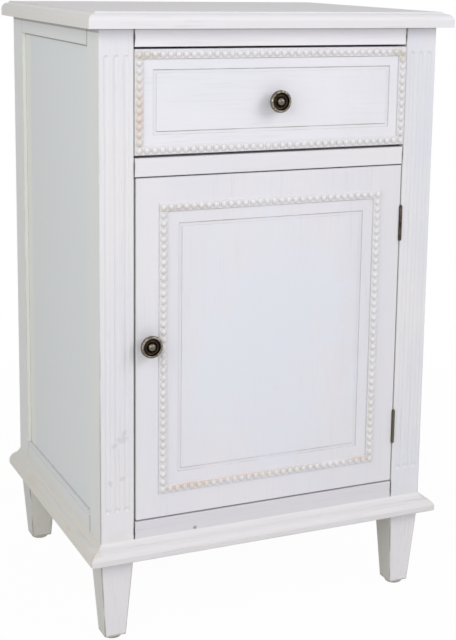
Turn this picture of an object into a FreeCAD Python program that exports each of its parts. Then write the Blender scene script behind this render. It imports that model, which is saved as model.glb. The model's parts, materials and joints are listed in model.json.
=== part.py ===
import FreeCAD, Part
import math
import os

# A nightstand with one drawer over one cupboard door, on four tapered legs.
#
# Lengths are in millimetres. X runs along the front, Y from the front to the back and Z up.
# The origin lies on the floor, halfway across the width, and halfway between the tips of the
# knobs and the back. The posts, rails and panels are framed and grooved together, the drawer
# slides towards -Y on two wooden runners, and the door turns on two butt hinges at its right.

V = FreeCAD.Vector

# Heights, stacked from the floor up
GLIDE_H = 4.6
LEG_H = 93.2
MOULDING_H = 20.3
SILL_RAIL_SHOW = 19.3
DOOR_OPENING_H = 382.3
MID_RAIL_H = 19.7
DRAWER_OPENING_H = 115.6
APRON_H = 19.2
TOP_T = 17.1

# Plan of the carcase
CARCASE_W = 400.0
CARCASE_D = 333.0
POST_W = 38.0
RAIL_T = 19.0
MID_RAIL_D = 45.0
TOP_OVERHANG = 14.7
MOULDING_OUT = 14.7

# Panels and the boards inside
SIDE_PANEL_T = 6.0
SIDE_PANEL_RECESS = 4.6
PANEL_GROOVE = 6.0
BACK_PANEL_T = 5.0
BACK_PANEL_LAP = 10.0
BACK_PANEL_SETBACK = 2.0
FLOOR_T = 12.0
BEARER_W = 16.0
SHELF_T = 12.0
SHELF_SETBACK = 7.0
CLEAT_W = 16.0
DUST_PANEL_T = 5.0
RUNNER_W = 43.4
RUNNER_T = 18.0
GUIDE_H = 20.0
KICKER_W = 32.0

# Clearances
DOOR_GAP = 1.5
DOOR_FOOT_GAP = 2.0
DOOR_LATCH_GAP = 2.4
DRAWER_GAP = 2.4
DRAWER_FOOT_GAP = 2.8
DRAWER_SIDE_GAP = 0.8
BODY_GAP = 0.3
BORE_PLAY = 0.05
PANEL_PLAY = 0.2
SHELF_PLAY = 0.5
GUIDE_PLAY = 0.6
OVERRUN = 5.0

# Eased arrises of the boards
EASE = 0.6

# Open seams where the rails butt against the posts
FRONT_SEAM_W = 1.2
FRONT_SEAM_DEPTH = 3.0
SIDE_SEAM_W = 0.6
SIDE_SEAM_DEPTH = 1.5

# Quirk along the bottom side rails, just under their upper edge
QUIRK_DOWN = 2.0
QUIRK_H = 0.7
QUIRK_DEPTH = 1.2

# Post flutes
FLUTES = 3
FLUTE_PITCH = 10.8
FLUTE_R = 4.2
FLUTE_DEPTH = 1.4
FLUTE_TOP_MARGIN = 30.0
FLUTE_BOTTOM_MARGIN = 36.3

# Top edge: shares of the edge's width inwards, and of the top's thickness upwards
TOP_EDGE_W = 9.9
TOP_EDGE_SHARES = [(0, 0.36), ((0.18, 0.72), (0.50, 0.86)), (0.76, 0.87), ((0.90, 0.91), (1.0, 1.0))]

# Base moulding: shares of its projection outwards, and of its height upwards
MOULDING_SHARES = [(0, 0), (0.94, 0), (1.0, 0.05), (1.0, 0.32), ((0.86, 0.51), (0.34, 0.73)),
                   (0.30, 0.75), ((0.13, 0.86), (0, 1.0))]

# Legs and feet
LEG_FOOT_W = 24.5
LEG_EASE = 1.2
GLIDE_R = 10.8
GLIDE_EDGE = 3.0
GLIDE_NAIL_R = 1.2
GLIDE_NAIL_L = 12.0
LEG_BOLT_R = 4.0
LEG_BOLT_L = 60.0

# Drawer
DRAWER_FRONT_T = 19.0
DRAWER_BACK_CLEAR = 24.0
DRAWER_SIDE_T = 12.0
DRAWER_SIDE_H = 110.0
DRAWER_LAP = 10.0
DRAWER_BOTTOM_T = 5.0
DRAWER_BOTTOM_UP = 8.0
DRAWER_BACK_DROP = 6.0
STOP_TAB_W = 24.0
STOP_TAB_T = 8.5
STOP_TAB_FOOT = 40.0
STOP_TAB_CLEAR = 4.4
STOP_BLOCK_W = 30.0
STOP_BLOCK_D = 14.0
STOP_BLOCK_H = 6.3
STOP_BLOCK_INSET = 87.0

# Door
DOOR_T = 19.0

# Scribed groove round the drawer front and the door: insets from their sides and from their ends
SCRIBE_W = 4.0
SCRIBE_DEPTH = 1.0
DRAWER_SCRIBE_INSETS = (20.2, 21.0)
DOOR_SCRIBE_INSETS = (48.5, 49.7)

# Beaded moulding: pearls sunk into a flat strip, with insets as above
BEAD_STRIP_W = 9.0
BEAD_STRIP_T = 1.6
PEARL_R = 4.1
PEARL_CORE_R = 1.0
PEARL_PITCH = 8.6
DRAWER_BEAD_INSETS = (0.2, 0.8)
DOOR_BEAD_INSETS = (26.2, 27.4)

# Knobs: shares of the knob's radius and of its reach from the face, from the middle outwards
KNOB_R = 12.1
KNOB_REACH = 17.5
KNOB_BACK_SHARES = [(0, 0), (0.49, 0), (0.49, 0.08), ((0.37, 0.14), (0.36, 0.38)),
                    ((0.50, 0.56), (0.91, 0.63))]
KNOB_RIM_SHARES = [((0.99, 0.66), (1.0, 0.74)), ((0.98, 0.85), (0.90, 0.90)), ((0.82, 0.90), (0.77, 0.82))]
KNOB_FACE_SHARES = [((0.66, 0.70), (0.41, 0.74))]
DRAWER_KNOB_DROP = 1.2
DOOR_KNOB_RISE = 9.5
KNOB_SCREW_R = 2.0
KNOB_SCREW_BITE = 8.0
KNOB_SCREW_HEAD_R = 4.0
KNOB_SCREW_HEAD_H = 2.4

# Butt hinges
HINGE_L = 39.0
HINGE_INSET = 47.5
HINGE_LEAF_T = 1.1
HINGE_LEAF_W = 14.0
HINGE_PLAY = 0.1
KNUCKLES = 5
KNUCKLE_GAP = 0.3
BARREL_R = 1.8
HINGE_OUT = 0.9
PIN_R = 1.0
PIN_TIP_R = 1.4
HINGE_SCREW_SHARES = (0.28, 0.72)
HINGE_SCREW_BACK = 8.5

# Wood screws
SCREW_R = 1.4
SCREW_HEAD_R = 2.7
HINGE_SCREW_L = 12.0
TOP_SCREW_L = 29.0
TOP_SCREW_SHARES = (0.12, 0.88)
CATCH_SCREW_L = 20.0
CATCH_SCREW_BACK = 16.0
CATCH_SCREW_SPREAD = 11.0
STRIKE_SCREW_L = 10.0
STRIKE_SCREW_SPREAD = 10.0

# Magnetic catch
CATCH_W = 40.0
CATCH_D = 24.0
CATCH_H = 12.0
CATCH_INSET = 52.0
CATCH_WALL = 2.0
MAGNET_D = 8.0
STRIKE_T = 1.2
STRIKE_W = 34.0
STRIKE_H = 12.0

# Levels
BASE_Z = GLIDE_H + LEG_H
MOULDING_TOP = BASE_Z + MOULDING_H
SILL_Z = MOULDING_TOP + SILL_RAIL_SHOW
DOOR_HEAD_Z = SILL_Z + DOOR_OPENING_H
DRAWER_SILL_Z = DOOR_HEAD_Z + MID_RAIL_H
DRAWER_HEAD_Z = DRAWER_SILL_Z + DRAWER_OPENING_H
CARCASE_TOP = DRAWER_HEAD_Z + APRON_H

# Planes across the width, for the right half
HALF_W = CARCASE_W / 2
POST_IN = HALF_W - POST_W
RAIL_IN = HALF_W - RAIL_T
PANEL_OUT = HALF_W - SIDE_PANEL_RECESS
PANEL_IN = PANEL_OUT - SIDE_PANEL_T
RUNNER_IN = PANEL_IN - RUNNER_W
KICKER_IN = RAIL_IN - KICKER_W
DOOR_X = (-POST_IN + DOOR_LATCH_GAP, POST_IN - DOOR_GAP)
DRAWER_EDGE = POST_IN - DRAWER_SIDE_GAP

# Planes from front to back
FRONT = (KNOB_REACH - CARCASE_D) / 2
BACK = FRONT + CARCASE_D
FRONT_POST_BACK = FRONT + POST_W
REAR_POST_FRONT = BACK - POST_W
RAIL_BACK = FRONT + RAIL_T
MID_RAIL_BACK = FRONT + MID_RAIL_D
BACK_PANEL_FRONT = BACK - BACK_PANEL_T
REAR_RAIL_FRONT = BACK_PANEL_FRONT - RAIL_T
DRAWER_END = REAR_RAIL_FRONT - DRAWER_BACK_CLEAR
CATCH_X = -POST_IN + CATCH_INSET
HINGE_X = POST_IN - DOOR_GAP / 2
HINGE_Y = FRONT - HINGE_OUT
STRIKE_BACK = FRONT + DOOR_T + STRIKE_T
CATCH_FRONT = STRIKE_BACK + BODY_GAP

# Heights of the drawer and the door
DRAWER_FRONT_Z = (DRAWER_SILL_Z + DRAWER_FOOT_GAP, DRAWER_HEAD_Z - DRAWER_GAP)
DRAWER_SIDE_Z = (DRAWER_SILL_Z + BODY_GAP, DRAWER_SILL_Z + BODY_GAP + DRAWER_SIDE_H)
DRAWER_BOTTOM_UNDER = DRAWER_SIDE_Z[0] + DRAWER_BOTTOM_UP
DRAWER_BOTTOM_Z = (DRAWER_BOTTOM_UNDER, DRAWER_BOTTOM_UNDER + DRAWER_BOTTOM_T)
DOOR_Z = (SILL_Z + DOOR_FOOT_GAP, DOOR_HEAD_Z - DOOR_GAP)
DRAWER_KNOB_Z = sum(DRAWER_FRONT_Z) / 2 - DRAWER_KNOB_DROP
DOOR_MID_Z = sum(DOOR_Z) / 2
SHELF_Z = DOOR_MID_Z

pieces = {}


def block(x, y, z):
    """A box from its two ends along each axis, given in either order."""
    x, y, z = sorted(x), sorted(y), sorted(z)
    return Part.makeBox(x[1] - x[0], y[1] - y[0], z[1] - z[0], V(x[0], y[0], z[0]))


def board(x, y, z):
    """A planed board with every arris eased."""
    box = block(x, y, z)
    return box.makeChamfer(EASE, box.Edges)


def grown(span, by):
    """A span with both of its ends moved out."""
    return (min(span) - by, max(span) + by)


def mirrored(side, *planes):
    """Planes of the right half, put on the side that is wanted."""
    return tuple(side * plane for plane in planes)


def inside(x, z, insets):
    """Two spans of a front, drawn in by an inset from its sides and one from its ends."""
    return grown(x, -insets[0]), grown(z, -insets[1])


def outline(steps):
    """A closed wire through points, where a pair stands for an arc's middle and end."""
    edges, here = [], steps[0]
    for step in steps[1:]:
        if isinstance(step, tuple):
            edges.append(Part.Arc(here, step[0], step[1]).toShape())
            here = step[1]
        else:
            edges.append(Part.LineSegment(here, step).toShape())
            here = step
    edges.append(Part.LineSegment(here, steps[0]).toShape())
    return Part.Wire(edges)


def placed(shares, spot):
    """Outline steps in space: spot turns one pair of shares into a point."""
    steps = []
    for step in shares:
        is_arc = isinstance(step[0], tuple)
        steps.append(tuple(spot(*point) for point in step) if is_arc else spot(*step))
    return steps


def prism(wire, along):
    """The solid that a flat closed wire sweeps along a vector."""
    return Part.Face(wire).extrude(along)


def rod(radius, start, along):
    """A round bar from a point along a vector."""
    return Part.makeCylinder(radius, along.Length, start, along)


def side_panel_seat(side, play):
    """The space of a side panel in its grooves, less some play all round."""
    x = mirrored(side, PANEL_IN + play, PANEL_OUT - play)
    y = grown((FRONT_POST_BACK, REAR_POST_FRONT), PANEL_GROOVE - play)
    return block(x, y, grown((SILL_Z, DRAWER_HEAD_Z), PANEL_GROOVE - play))


def dust_panel_seat(play):
    """The space of the dust panel in its grooves, less some play all round."""
    mid = (DOOR_HEAD_Z + DRAWER_SILL_Z) / 2
    x = grown((-RUNNER_IN, RUNNER_IN), PANEL_GROOVE - play)
    y = grown((MID_RAIL_BACK, REAR_RAIL_FRONT), PANEL_GROOVE - play)
    return block(x, y, grown((mid, mid), DUST_PANEL_T / 2 - play))


def post_space(side, y):
    """The full square of a post, which boards inside the carcase are notched around."""
    return block(mirrored(side, POST_IN, HALF_W), y, (BASE_Z, CARCASE_TOP))


def notched(shape):
    """A shape cut away where the four posts stand."""
    for side in (-1, 1):
        for y in ((FRONT, FRONT_POST_BACK), (REAR_POST_FRONT, BACK)):
            shape = shape.cut(post_space(side, y))
    return shape


def flute(x):
    """The cutter of one stopped flute, round at both ends."""
    y = FRONT - FLUTE_R + FLUTE_DEPTH
    bottom = V(x, y, MOULDING_TOP + FLUTE_BOTTOM_MARGIN)
    top = V(x, y, CARCASE_TOP - FLUTE_TOP_MARGIN)
    bar = rod(FLUTE_R, bottom, top - bottom)
    return bar.fuse([Part.makeSphere(FLUTE_R, bottom), Part.makeSphere(FLUTE_R, top)])


def leg_bolt(side, y):
    """A hanger bolt, half in the leg and half in the post above it."""
    x = side * (HALF_W - POST_W / 2)
    return rod(LEG_BOLT_R, V(x, y, BASE_Z - LEG_BOLT_L / 2), V(0, 0, LEG_BOLT_L))


def leg_bolt_hole(side, y):
    """The hole of a hanger bolt, in the leg and the post."""
    x = side * (HALF_W - POST_W / 2)
    start = V(x, y, BASE_Z - LEG_BOLT_L / 2 - BORE_PLAY)
    return rod(LEG_BOLT_R + BORE_PLAY, start, V(0, 0, LEG_BOLT_L + 2 * BORE_PLAY))


def wood_screw(head, into, length, play=0.0):
    """A countersunk screw with its head flush at a point, or its hole with some play."""
    sink = SCREW_HEAD_R - SCREW_R
    shank = rod(SCREW_R + play, head, into * (length + play))
    return shank.fuse(Part.makeCone(SCREW_HEAD_R + play, SCREW_R + play, sink, head, into))


def hinge_bottoms():
    """The height of the lower end of each hinge."""
    return (DOOR_Z[0] + HINGE_INSET, DOOR_Z[1] - HINGE_INSET - HINGE_L)


def hinge_screws(side, play=0.0):
    """The screws of both leaves on one side of the hinge line: 1 is the post, -1 the door."""
    x = HINGE_X + side * DOOR_GAP / 2
    shapes = []
    for bottom in hinge_bottoms():
        for share in HINGE_SCREW_SHARES:
            head = V(x, FRONT + HINGE_SCREW_BACK, bottom + share * HINGE_L)
            shapes.append(wood_screw(head, V(side, 0, 0), HINGE_SCREW_L, play))
    return shapes


def hinge_mortises(side):
    """The pockets that take the leaves and the barrels, in the post or in the door's edge."""
    near = HINGE_X + side * (DOOR_GAP / 2 - OVERRUN)
    far = HINGE_X + side * (DOOR_GAP / 2 + HINGE_LEAF_T + HINGE_PLAY)
    y = (FRONT - OVERRUN, FRONT + HINGE_LEAF_W + HINGE_PLAY)
    pockets = []
    for bottom in hinge_bottoms():
        span = (bottom, bottom + HINGE_L)
        low, high = grown(span, PIN_TIP_R + BODY_GAP)
        pockets.append(block((near, far), y, grown(span, HINGE_PLAY)))
        pockets.append(rod(BARREL_R + BODY_GAP, V(HINGE_X, HINGE_Y, low), V(0, 0, high - low)))
    return pockets


def hinge_leaf(side, bottom):
    """One leaf with its knuckles: the post's leaf has the first, third and last of them."""
    x = (HINGE_X + side * DOOR_GAP / 2, HINGE_X + side * (DOOR_GAP / 2 + HINGE_LEAF_T))
    plate_front = HINGE_Y + BARREL_R + BODY_GAP
    leaf = block(x, (plate_front, FRONT + HINGE_LEAF_W), (bottom, bottom + HINGE_L))
    step = HINGE_L / KNUCKLES
    for number in range(0 if side > 0 else 1, KNUCKLES, 2):
        z = grown((bottom + number * step, bottom + (number + 1) * step), -KNUCKLE_GAP / 2)
        knuckle = rod(BARREL_R, V(HINGE_X, HINGE_Y, z[0]), V(0, 0, z[1] - z[0]))
        leaf = leaf.fuse([knuckle, block(x, (HINGE_Y, plate_front), z)])
    bore = rod(PIN_R + BORE_PLAY, V(HINGE_X, HINGE_Y, bottom - OVERRUN), V(0, 0, HINGE_L + 2 * OVERRUN))
    return leaf.removeSplitter().cut([bore] + hinge_screws(side, BORE_PLAY))


def hinge_pin(bottom):
    """A hinge pin with a rounded tip at each end."""
    low, high = V(HINGE_X, HINGE_Y, bottom), V(HINGE_X, HINGE_Y, bottom + HINGE_L)
    between = rod(OVERRUN, low, high - low)
    tips = [Part.makeSphere(PIN_TIP_R, end).cut(between) for end in (low, high)]
    return rod(PIN_R, low, high - low).fuse(tips)


def pearl_string(length, turned_up):
    """Half of a turned string of pearls, which lies flat on a plane facing the front.

    It starts at the origin and runs along X, or along Z if it is turned up.
    """
    count = max(1, round(length / PEARL_PITCH))
    pitch = length / count
    radius = min(PEARL_R, pitch / 2)
    half = math.sqrt(radius ** 2 - min(PEARL_CORE_R, radius) ** 2)
    spot = (lambda run, out: V(-out, 0, run)) if turned_up else (lambda run, out: V(run, 0, out))
    steps = [spot(0, 0), spot(0, PEARL_CORE_R)]
    for number in range(count):
        middle = (number + 1 / 2) * pitch
        steps.append(spot(middle - half, PEARL_CORE_R))
        steps.append((spot(middle, radius), spot(middle + half, PEARL_CORE_R)))
    steps += [spot(length, PEARL_CORE_R), spot(length, 0)]
    return Part.Face(outline(steps)).revolve(V(0, 0, 0), spot(1, 0), 180)


def bead_frame(x, z):
    """A frame of beaded moulding whose outer edges are at two spans of X and Z."""
    mid = BEAD_STRIP_W / 2
    y = (FRONT - BEAD_STRIP_T, FRONT)
    strips = []
    for low in (z[0], z[1] - BEAD_STRIP_W):
        flat = block(x, y, (low, low + BEAD_STRIP_W))
        pearls = pearl_string(x[1] - x[0], False)
        pearls.translate(V(x[0], FRONT, low + mid))
        strips.append(flat.fuse(pearls))
    upright = grown(z, -BEAD_STRIP_W)
    for low in (x[0], x[1] - BEAD_STRIP_W):
        flat = block((low, low + BEAD_STRIP_W), y, upright)
        pearls = pearl_string(upright[1] - upright[0], True)
        pearls.translate(V(low + mid, FRONT, upright[0]))
        strips.append(flat.fuse(pearls))
    return Part.makeCompound(strips)


def scribed(front, x, z, insets):
    """A front with a shallow flat groove scribed round its middle."""
    x, z = inside(x, z, insets)
    y = (FRONT - OVERRUN, FRONT + SCRIBE_DEPTH)
    return front.cut(block(x, y, z).cut(block(grown(x, -SCRIBE_W), y, grown(z, -SCRIBE_W))))


def knob(x, z):
    """A turned knob with a rim, a hollow face and a domed middle."""
    shares = KNOB_BACK_SHARES + KNOB_RIM_SHARES + KNOB_FACE_SHARES
    steps = placed(shares, lambda out, reach: V(out * KNOB_R, -reach * KNOB_REACH, 0))
    ring = steps[-1][1]
    rise = KNOB_REACH + ring.y
    dome_r = (ring.x ** 2 + rise ** 2) / (2 * rise)
    turn = math.atan2(ring.x, dome_r - rise) / 2
    middle = V(dome_r * math.sin(turn), dome_r * (1 - math.cos(turn)) - KNOB_REACH, 0)
    steps.append((middle, V(0, -KNOB_REACH, 0)))
    shape = Part.Face(outline(steps)).revolve(V(0, 0, 0), V(0, 1, 0), 360)
    shape.translate(V(x, FRONT, z))
    start = V(x, FRONT + OVERRUN, z)
    bore = rod(KNOB_SCREW_R + BORE_PLAY, start, V(0, -OVERRUN - KNOB_SCREW_BITE - BORE_PLAY, 0))
    return shape.cut(bore)


def knob_screw(x, z, thickness):
    """A machine screw through a front into its knob, with its head at the back."""
    back = V(x, FRONT + thickness, z)
    shank = rod(KNOB_SCREW_R, back, V(0, -thickness - KNOB_SCREW_BITE, 0))
    return shank.fuse(rod(KNOB_SCREW_HEAD_R, back, V(0, KNOB_SCREW_HEAD_H, 0)))


def knob_hole(x, z, thickness):
    """The hole of a knob's screw through a front."""
    start = V(x, FRONT - OVERRUN, z)
    return rod(KNOB_SCREW_R + BORE_PLAY, start, V(0, thickness + 2 * OVERRUN, 0))


def catch_screws(play=0.0):
    """The screws that hold the catch up against the middle rail."""
    y, z = CATCH_FRONT + CATCH_SCREW_BACK, DOOR_HEAD_Z - CATCH_H
    heads = [V(CATCH_X + side * CATCH_SCREW_SPREAD, y, z) for side in (-1, 1)]
    return [wood_screw(head, V(0, 0, 1), CATCH_SCREW_L, play) for head in heads]


def strike_screws(play=0.0):
    """The screws that hold the strike plate on the back of the door."""
    z = DOOR_Z[1] - STRIKE_H / 2
    heads = [V(CATCH_X + side * STRIKE_SCREW_SPREAD, STRIKE_BACK, z) for side in (-1, 1)]
    return [wood_screw(head, V(0, -1, 0), STRIKE_SCREW_L, play) for head in heads]


def make_top():
    """The top, with its edge worked on the front and both sides and square at the back."""
    x = (-HALF_W - TOP_OVERHANG, HALF_W + TOP_OVERHANG)
    y = (FRONT - TOP_OVERHANG, BACK)
    shape = block(x, y, (CARCASE_TOP, CARCASE_TOP + TOP_T))

    def waste(spot, along):
        steps = placed(TOP_EDGE_SHARES, lambda into, up: spot(into * TOP_EDGE_W, CARCASE_TOP + up * TOP_T))
        above, start = TOP_T + OVERRUN, TOP_EDGE_SHARES[0][1] * TOP_T
        corners = [(TOP_EDGE_W, above), (-OVERRUN, above), (-OVERRUN, start)]
        steps += [spot(into, CARCASE_TOP + up) for into, up in corners]
        return prism(outline(steps), along)

    across = V(x[1] - x[0] + 2 * OVERRUN, 0, 0)
    shape = shape.cut(waste(lambda into, up: V(x[0] - OVERRUN, y[0] + into, up), across))
    run = V(0, y[1] - y[0] + 2 * OVERRUN, 0)
    shape = shape.cut(waste(lambda into, up: V(x[0] + into, y[0] - OVERRUN, up), run))
    shape = shape.cut(waste(lambda into, up: V(x[1] - into, y[0] - OVERRUN, up), run))
    pieces["top_panel"] = shape.cut(top_screws(BORE_PLAY))


def top_screws(play=0.0):
    """The screws that go up through the kickers into the top."""
    y = grown((FRONT_POST_BACK, REAR_POST_FRONT), 0)
    shapes = []
    for side in (-1, 1):
        for share in TOP_SCREW_SHARES:
            head = V(side * (RAIL_IN + KICKER_IN) / 2, y[0] + share * (y[1] - y[0]), DRAWER_HEAD_Z)
            shapes.append(wood_screw(head, V(0, 0, 1), TOP_SCREW_L, play))
    return shapes


def make_posts():
    """The four posts, with the flutes in the front ones and the back panel's rabbets."""
    for side, name in ((-1, "left"), (1, "right")):
        x = mirrored(side, POST_IN, HALF_W)
        front = board(x, (FRONT, FRONT_POST_BACK), (BASE_Z, CARCASE_TOP))
        middle = side * (POST_IN + HALF_W) / 2
        for number in range(FLUTES):
            front = front.cut(flute(middle + (number - (FLUTES - 1) / 2) * FLUTE_PITCH))
        front = front.cut([side_panel_seat(side, 0), leg_bolt_hole(side, FRONT + POST_W / 2)])
        if side > 0:
            front = front.cut(hinge_mortises(side) + hinge_screws(side, BORE_PLAY))
        pieces["front_" + name + "_post"] = front
        rear = board(x, (REAR_POST_FRONT, BACK), (BASE_Z, CARCASE_TOP))
        lap = mirrored(side, POST_IN - OVERRUN, POST_IN + BACK_PANEL_LAP)
        rabbet = block(lap, (BACK_PANEL_FRONT, BACK + OVERRUN), grown((BASE_Z, CARCASE_TOP), OVERRUN))
        rear = rear.cut([rabbet, side_panel_seat(side, 0), leg_bolt_hole(side, BACK - POST_W / 2)])
        pieces["back_" + name + "_post"] = rear


def front_seams():
    """The cutters of the seams at both ends of a front rail."""
    y = (FRONT - OVERRUN, FRONT + FRONT_SEAM_DEPTH)
    z = grown((BASE_Z, CARCASE_TOP), OVERRUN)
    return [block(mirrored(side, POST_IN - FRONT_SEAM_W, POST_IN + OVERRUN), y, z) for side in (-1, 1)]


def side_seams(side):
    """The cutters of the seams at both ends of a side rail, and of the quirk of a bottom one."""
    x = mirrored(side, HALF_W - SIDE_SEAM_DEPTH, HALF_W + OVERRUN)
    z = grown((BASE_Z, CARCASE_TOP), OVERRUN)
    near = (FRONT_POST_BACK - OVERRUN, FRONT_POST_BACK + SIDE_SEAM_W)
    far = (REAR_POST_FRONT - SIDE_SEAM_W, REAR_POST_FRONT + OVERRUN)
    quirk_x = mirrored(side, HALF_W - QUIRK_DEPTH, HALF_W + OVERRUN)
    quirk_z = (SILL_Z - QUIRK_DOWN - QUIRK_H, SILL_Z - QUIRK_DOWN)
    return [block(x, near, z), block(x, far, z), block(quirk_x, (near[0], far[1]), quirk_z)]


def make_rails():
    """The rails between the posts, on the front, the sides and the back."""
    x = (-POST_IN, POST_IN)
    apron = board(x, (FRONT, RAIL_BACK), (DRAWER_HEAD_Z, CARCASE_TOP))
    pieces["apron_rail"] = apron.cut(front_seams())
    mid_rail = board(x, (FRONT, MID_RAIL_BACK), (DOOR_HEAD_Z, DRAWER_SILL_Z))
    pieces["mid_rail"] = mid_rail.cut([dust_panel_seat(0)] + catch_screws(BORE_PLAY) + front_seams())
    pieces["sill_rail"] = board(x, (FRONT, RAIL_BACK), (BASE_Z, SILL_Z)).cut(front_seams())
    levels = {"top": (DRAWER_HEAD_Z, CARCASE_TOP), "bottom": (BASE_Z, SILL_Z)}
    for level, z in levels.items():
        for side, name in ((-1, "left"), (1, "right")):
            rail = board(mirrored(side, RAIL_IN, HALF_W), (FRONT_POST_BACK, REAR_POST_FRONT), z)
            pieces[name + "_" + level + "_rail"] = rail.cut([side_panel_seat(side, 0)] + side_seams(side))
        pieces["back_" + level + "_rail"] = board(x, (REAR_RAIL_FRONT, BACK_PANEL_FRONT), z)
    back_mid = board(x, (REAR_RAIL_FRONT, BACK_PANEL_FRONT), (DOOR_HEAD_Z, DRAWER_SILL_Z))
    pieces["back_mid_rail"] = back_mid.cut(dust_panel_seat(0))


def make_panels():
    """The side panels, the back panel and the dust panel."""
    pieces["left_side_panel"] = side_panel_seat(-1, PANEL_PLAY)
    pieces["right_side_panel"] = side_panel_seat(1, PANEL_PLAY)
    pieces["dust_panel"] = dust_panel_seat(PANEL_PLAY)
    x = grown((-POST_IN, POST_IN), BACK_PANEL_LAP - PANEL_PLAY)
    z = grown((BASE_Z, CARCASE_TOP), -BACK_PANEL_SETBACK)
    pieces["back_panel"] = board(x, (BACK_PANEL_FRONT, BACK), z)


def make_drawer_supports():
    """The runners with their guides, the kickers and the stops of the closed drawer."""
    y = (FRONT_POST_BACK, REAR_RAIL_FRONT)
    top_hole = top_screws(BORE_PLAY)
    for side, name in ((-1, "left"), (1, "right")):
        runner = block(mirrored(side, RUNNER_IN, PANEL_IN), y, (DRAWER_SILL_Z - RUNNER_T, DRAWER_SILL_Z))
        guide_in = DRAWER_EDGE + GUIDE_PLAY
        guide = block(mirrored(side, guide_in, PANEL_IN), (FRONT_POST_BACK, REAR_POST_FRONT),
                      (DRAWER_SILL_Z, DRAWER_SILL_Z + GUIDE_H))
        mid_rail = block((-POST_IN, POST_IN), (FRONT, MID_RAIL_BACK), (DOOR_HEAD_Z, DRAWER_SILL_Z))
        shape = notched(runner.cut(mid_rail)).fuse(guide).removeSplitter()
        pieces[name + "_drawer_runner"] = shape.cut(dust_panel_seat(0))
        kicker_x = mirrored(side, KICKER_IN, RAIL_IN)
        kicker = block(kicker_x, (RAIL_BACK, REAR_RAIL_FRONT), (DRAWER_HEAD_Z, CARCASE_TOP))
        pieces[name + "_kicker"] = notched(kicker).cut(top_hole)
    stops = []
    stop_front = FRONT + DRAWER_FRONT_T + BODY_GAP
    stop_y, stop_z = (stop_front, stop_front + STOP_BLOCK_D), (DRAWER_SILL_Z, DRAWER_SILL_Z + STOP_BLOCK_H)
    for side in (-1, 1):
        middle = side * (POST_IN - STOP_BLOCK_INSET)
        stops.append(block(grown((middle, middle), STOP_BLOCK_W / 2), stop_y, stop_z))
    pieces["drawer_stop_blocks"] = Part.makeCompound(stops)
    pieces["top_screws"] = Part.makeCompound(top_screws())


def make_cupboard():
    """The cupboard's floor on its bearers, and the shelf on its cleats."""
    floor = block((-RAIL_IN, RAIL_IN), (RAIL_BACK, REAR_RAIL_FRONT), (SILL_Z - FLOOR_T, SILL_Z))
    pieces["cupboard_floor"] = notched(floor)
    x = PANEL_IN - SHELF_PLAY
    y = (FRONT_POST_BACK + SHELF_SETBACK, REAR_POST_FRONT - SHELF_PLAY)
    pieces["shelf"] = board((-x, x), y, (SHELF_Z, SHELF_Z + SHELF_T))
    between = (FRONT_POST_BACK, REAR_POST_FRONT)
    bearer_z = (SILL_Z - FLOOR_T - BEARER_W, SILL_Z - FLOOR_T)
    cleat_z = (SHELF_Z - CLEAT_W, SHELF_Z)
    bearers = [block(mirrored(side, RAIL_IN - BEARER_W, RAIL_IN), between, bearer_z) for side in (-1, 1)]
    cleats = [block(mirrored(side, PANEL_IN - CLEAT_W, PANEL_IN), between, cleat_z) for side in (-1, 1)]
    pieces["floor_bearers"] = Part.makeCompound(bearers)
    pieces["shelf_cleats"] = Part.makeCompound(cleats)


def make_base_moulding():
    """The base moulding in three lengths, mitred at the front corners."""
    over = MOULDING_OUT + OVERRUN
    height = V(0, 0, MOULDING_H)

    def profile(spot, along):
        steps = placed(MOULDING_SHARES, lambda out, up: spot(out * MOULDING_OUT, BASE_Z + up * MOULDING_H))
        return prism(outline(steps), along)

    def plan(points):
        return prism(Part.makePolygon([V(x, y, BASE_Z) for x, y in points + points[:1]]), height)

    length = 2 * (HALF_W + over)
    front = profile(lambda out, z: V(-HALF_W - over, FRONT - out, z), V(length, 0, 0))
    inner, outer = HALF_W - OVERRUN, HALF_W + over
    behind, before = FRONT + OVERRUN, FRONT - over
    corners = [(-inner, behind), (inner, behind), (outer, before), (-outer, before)]
    pieces["front_base_moulding"] = front.common(plan(corners))
    for side, name in ((-1, "left"), (1, "right")):
        run = profile(lambda out, z: V(side * (HALF_W + out), FRONT - over, z), V(0, BACK - FRONT + over, 0))
        near = [(side * inner, behind), (side * outer, before)]
        far = [(side * outer, BACK + OVERRUN), (side * inner, BACK + OVERRUN)]
        pieces[name + "_base_moulding"] = run.common(plan(near + far))


def eased_square(x, y, z, width):
    """A square wire with its corners cut, for the section of a leg."""
    far, near = width / 2, width / 2 - LEG_EASE
    corners = [(far, near), (near, far), (-near, far), (-far, near)]
    corners += [(-right, -back) for right, back in corners]
    points = [V(x + right, y + back, z) for right, back in corners]
    return Part.makePolygon(points + points[:1])


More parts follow.
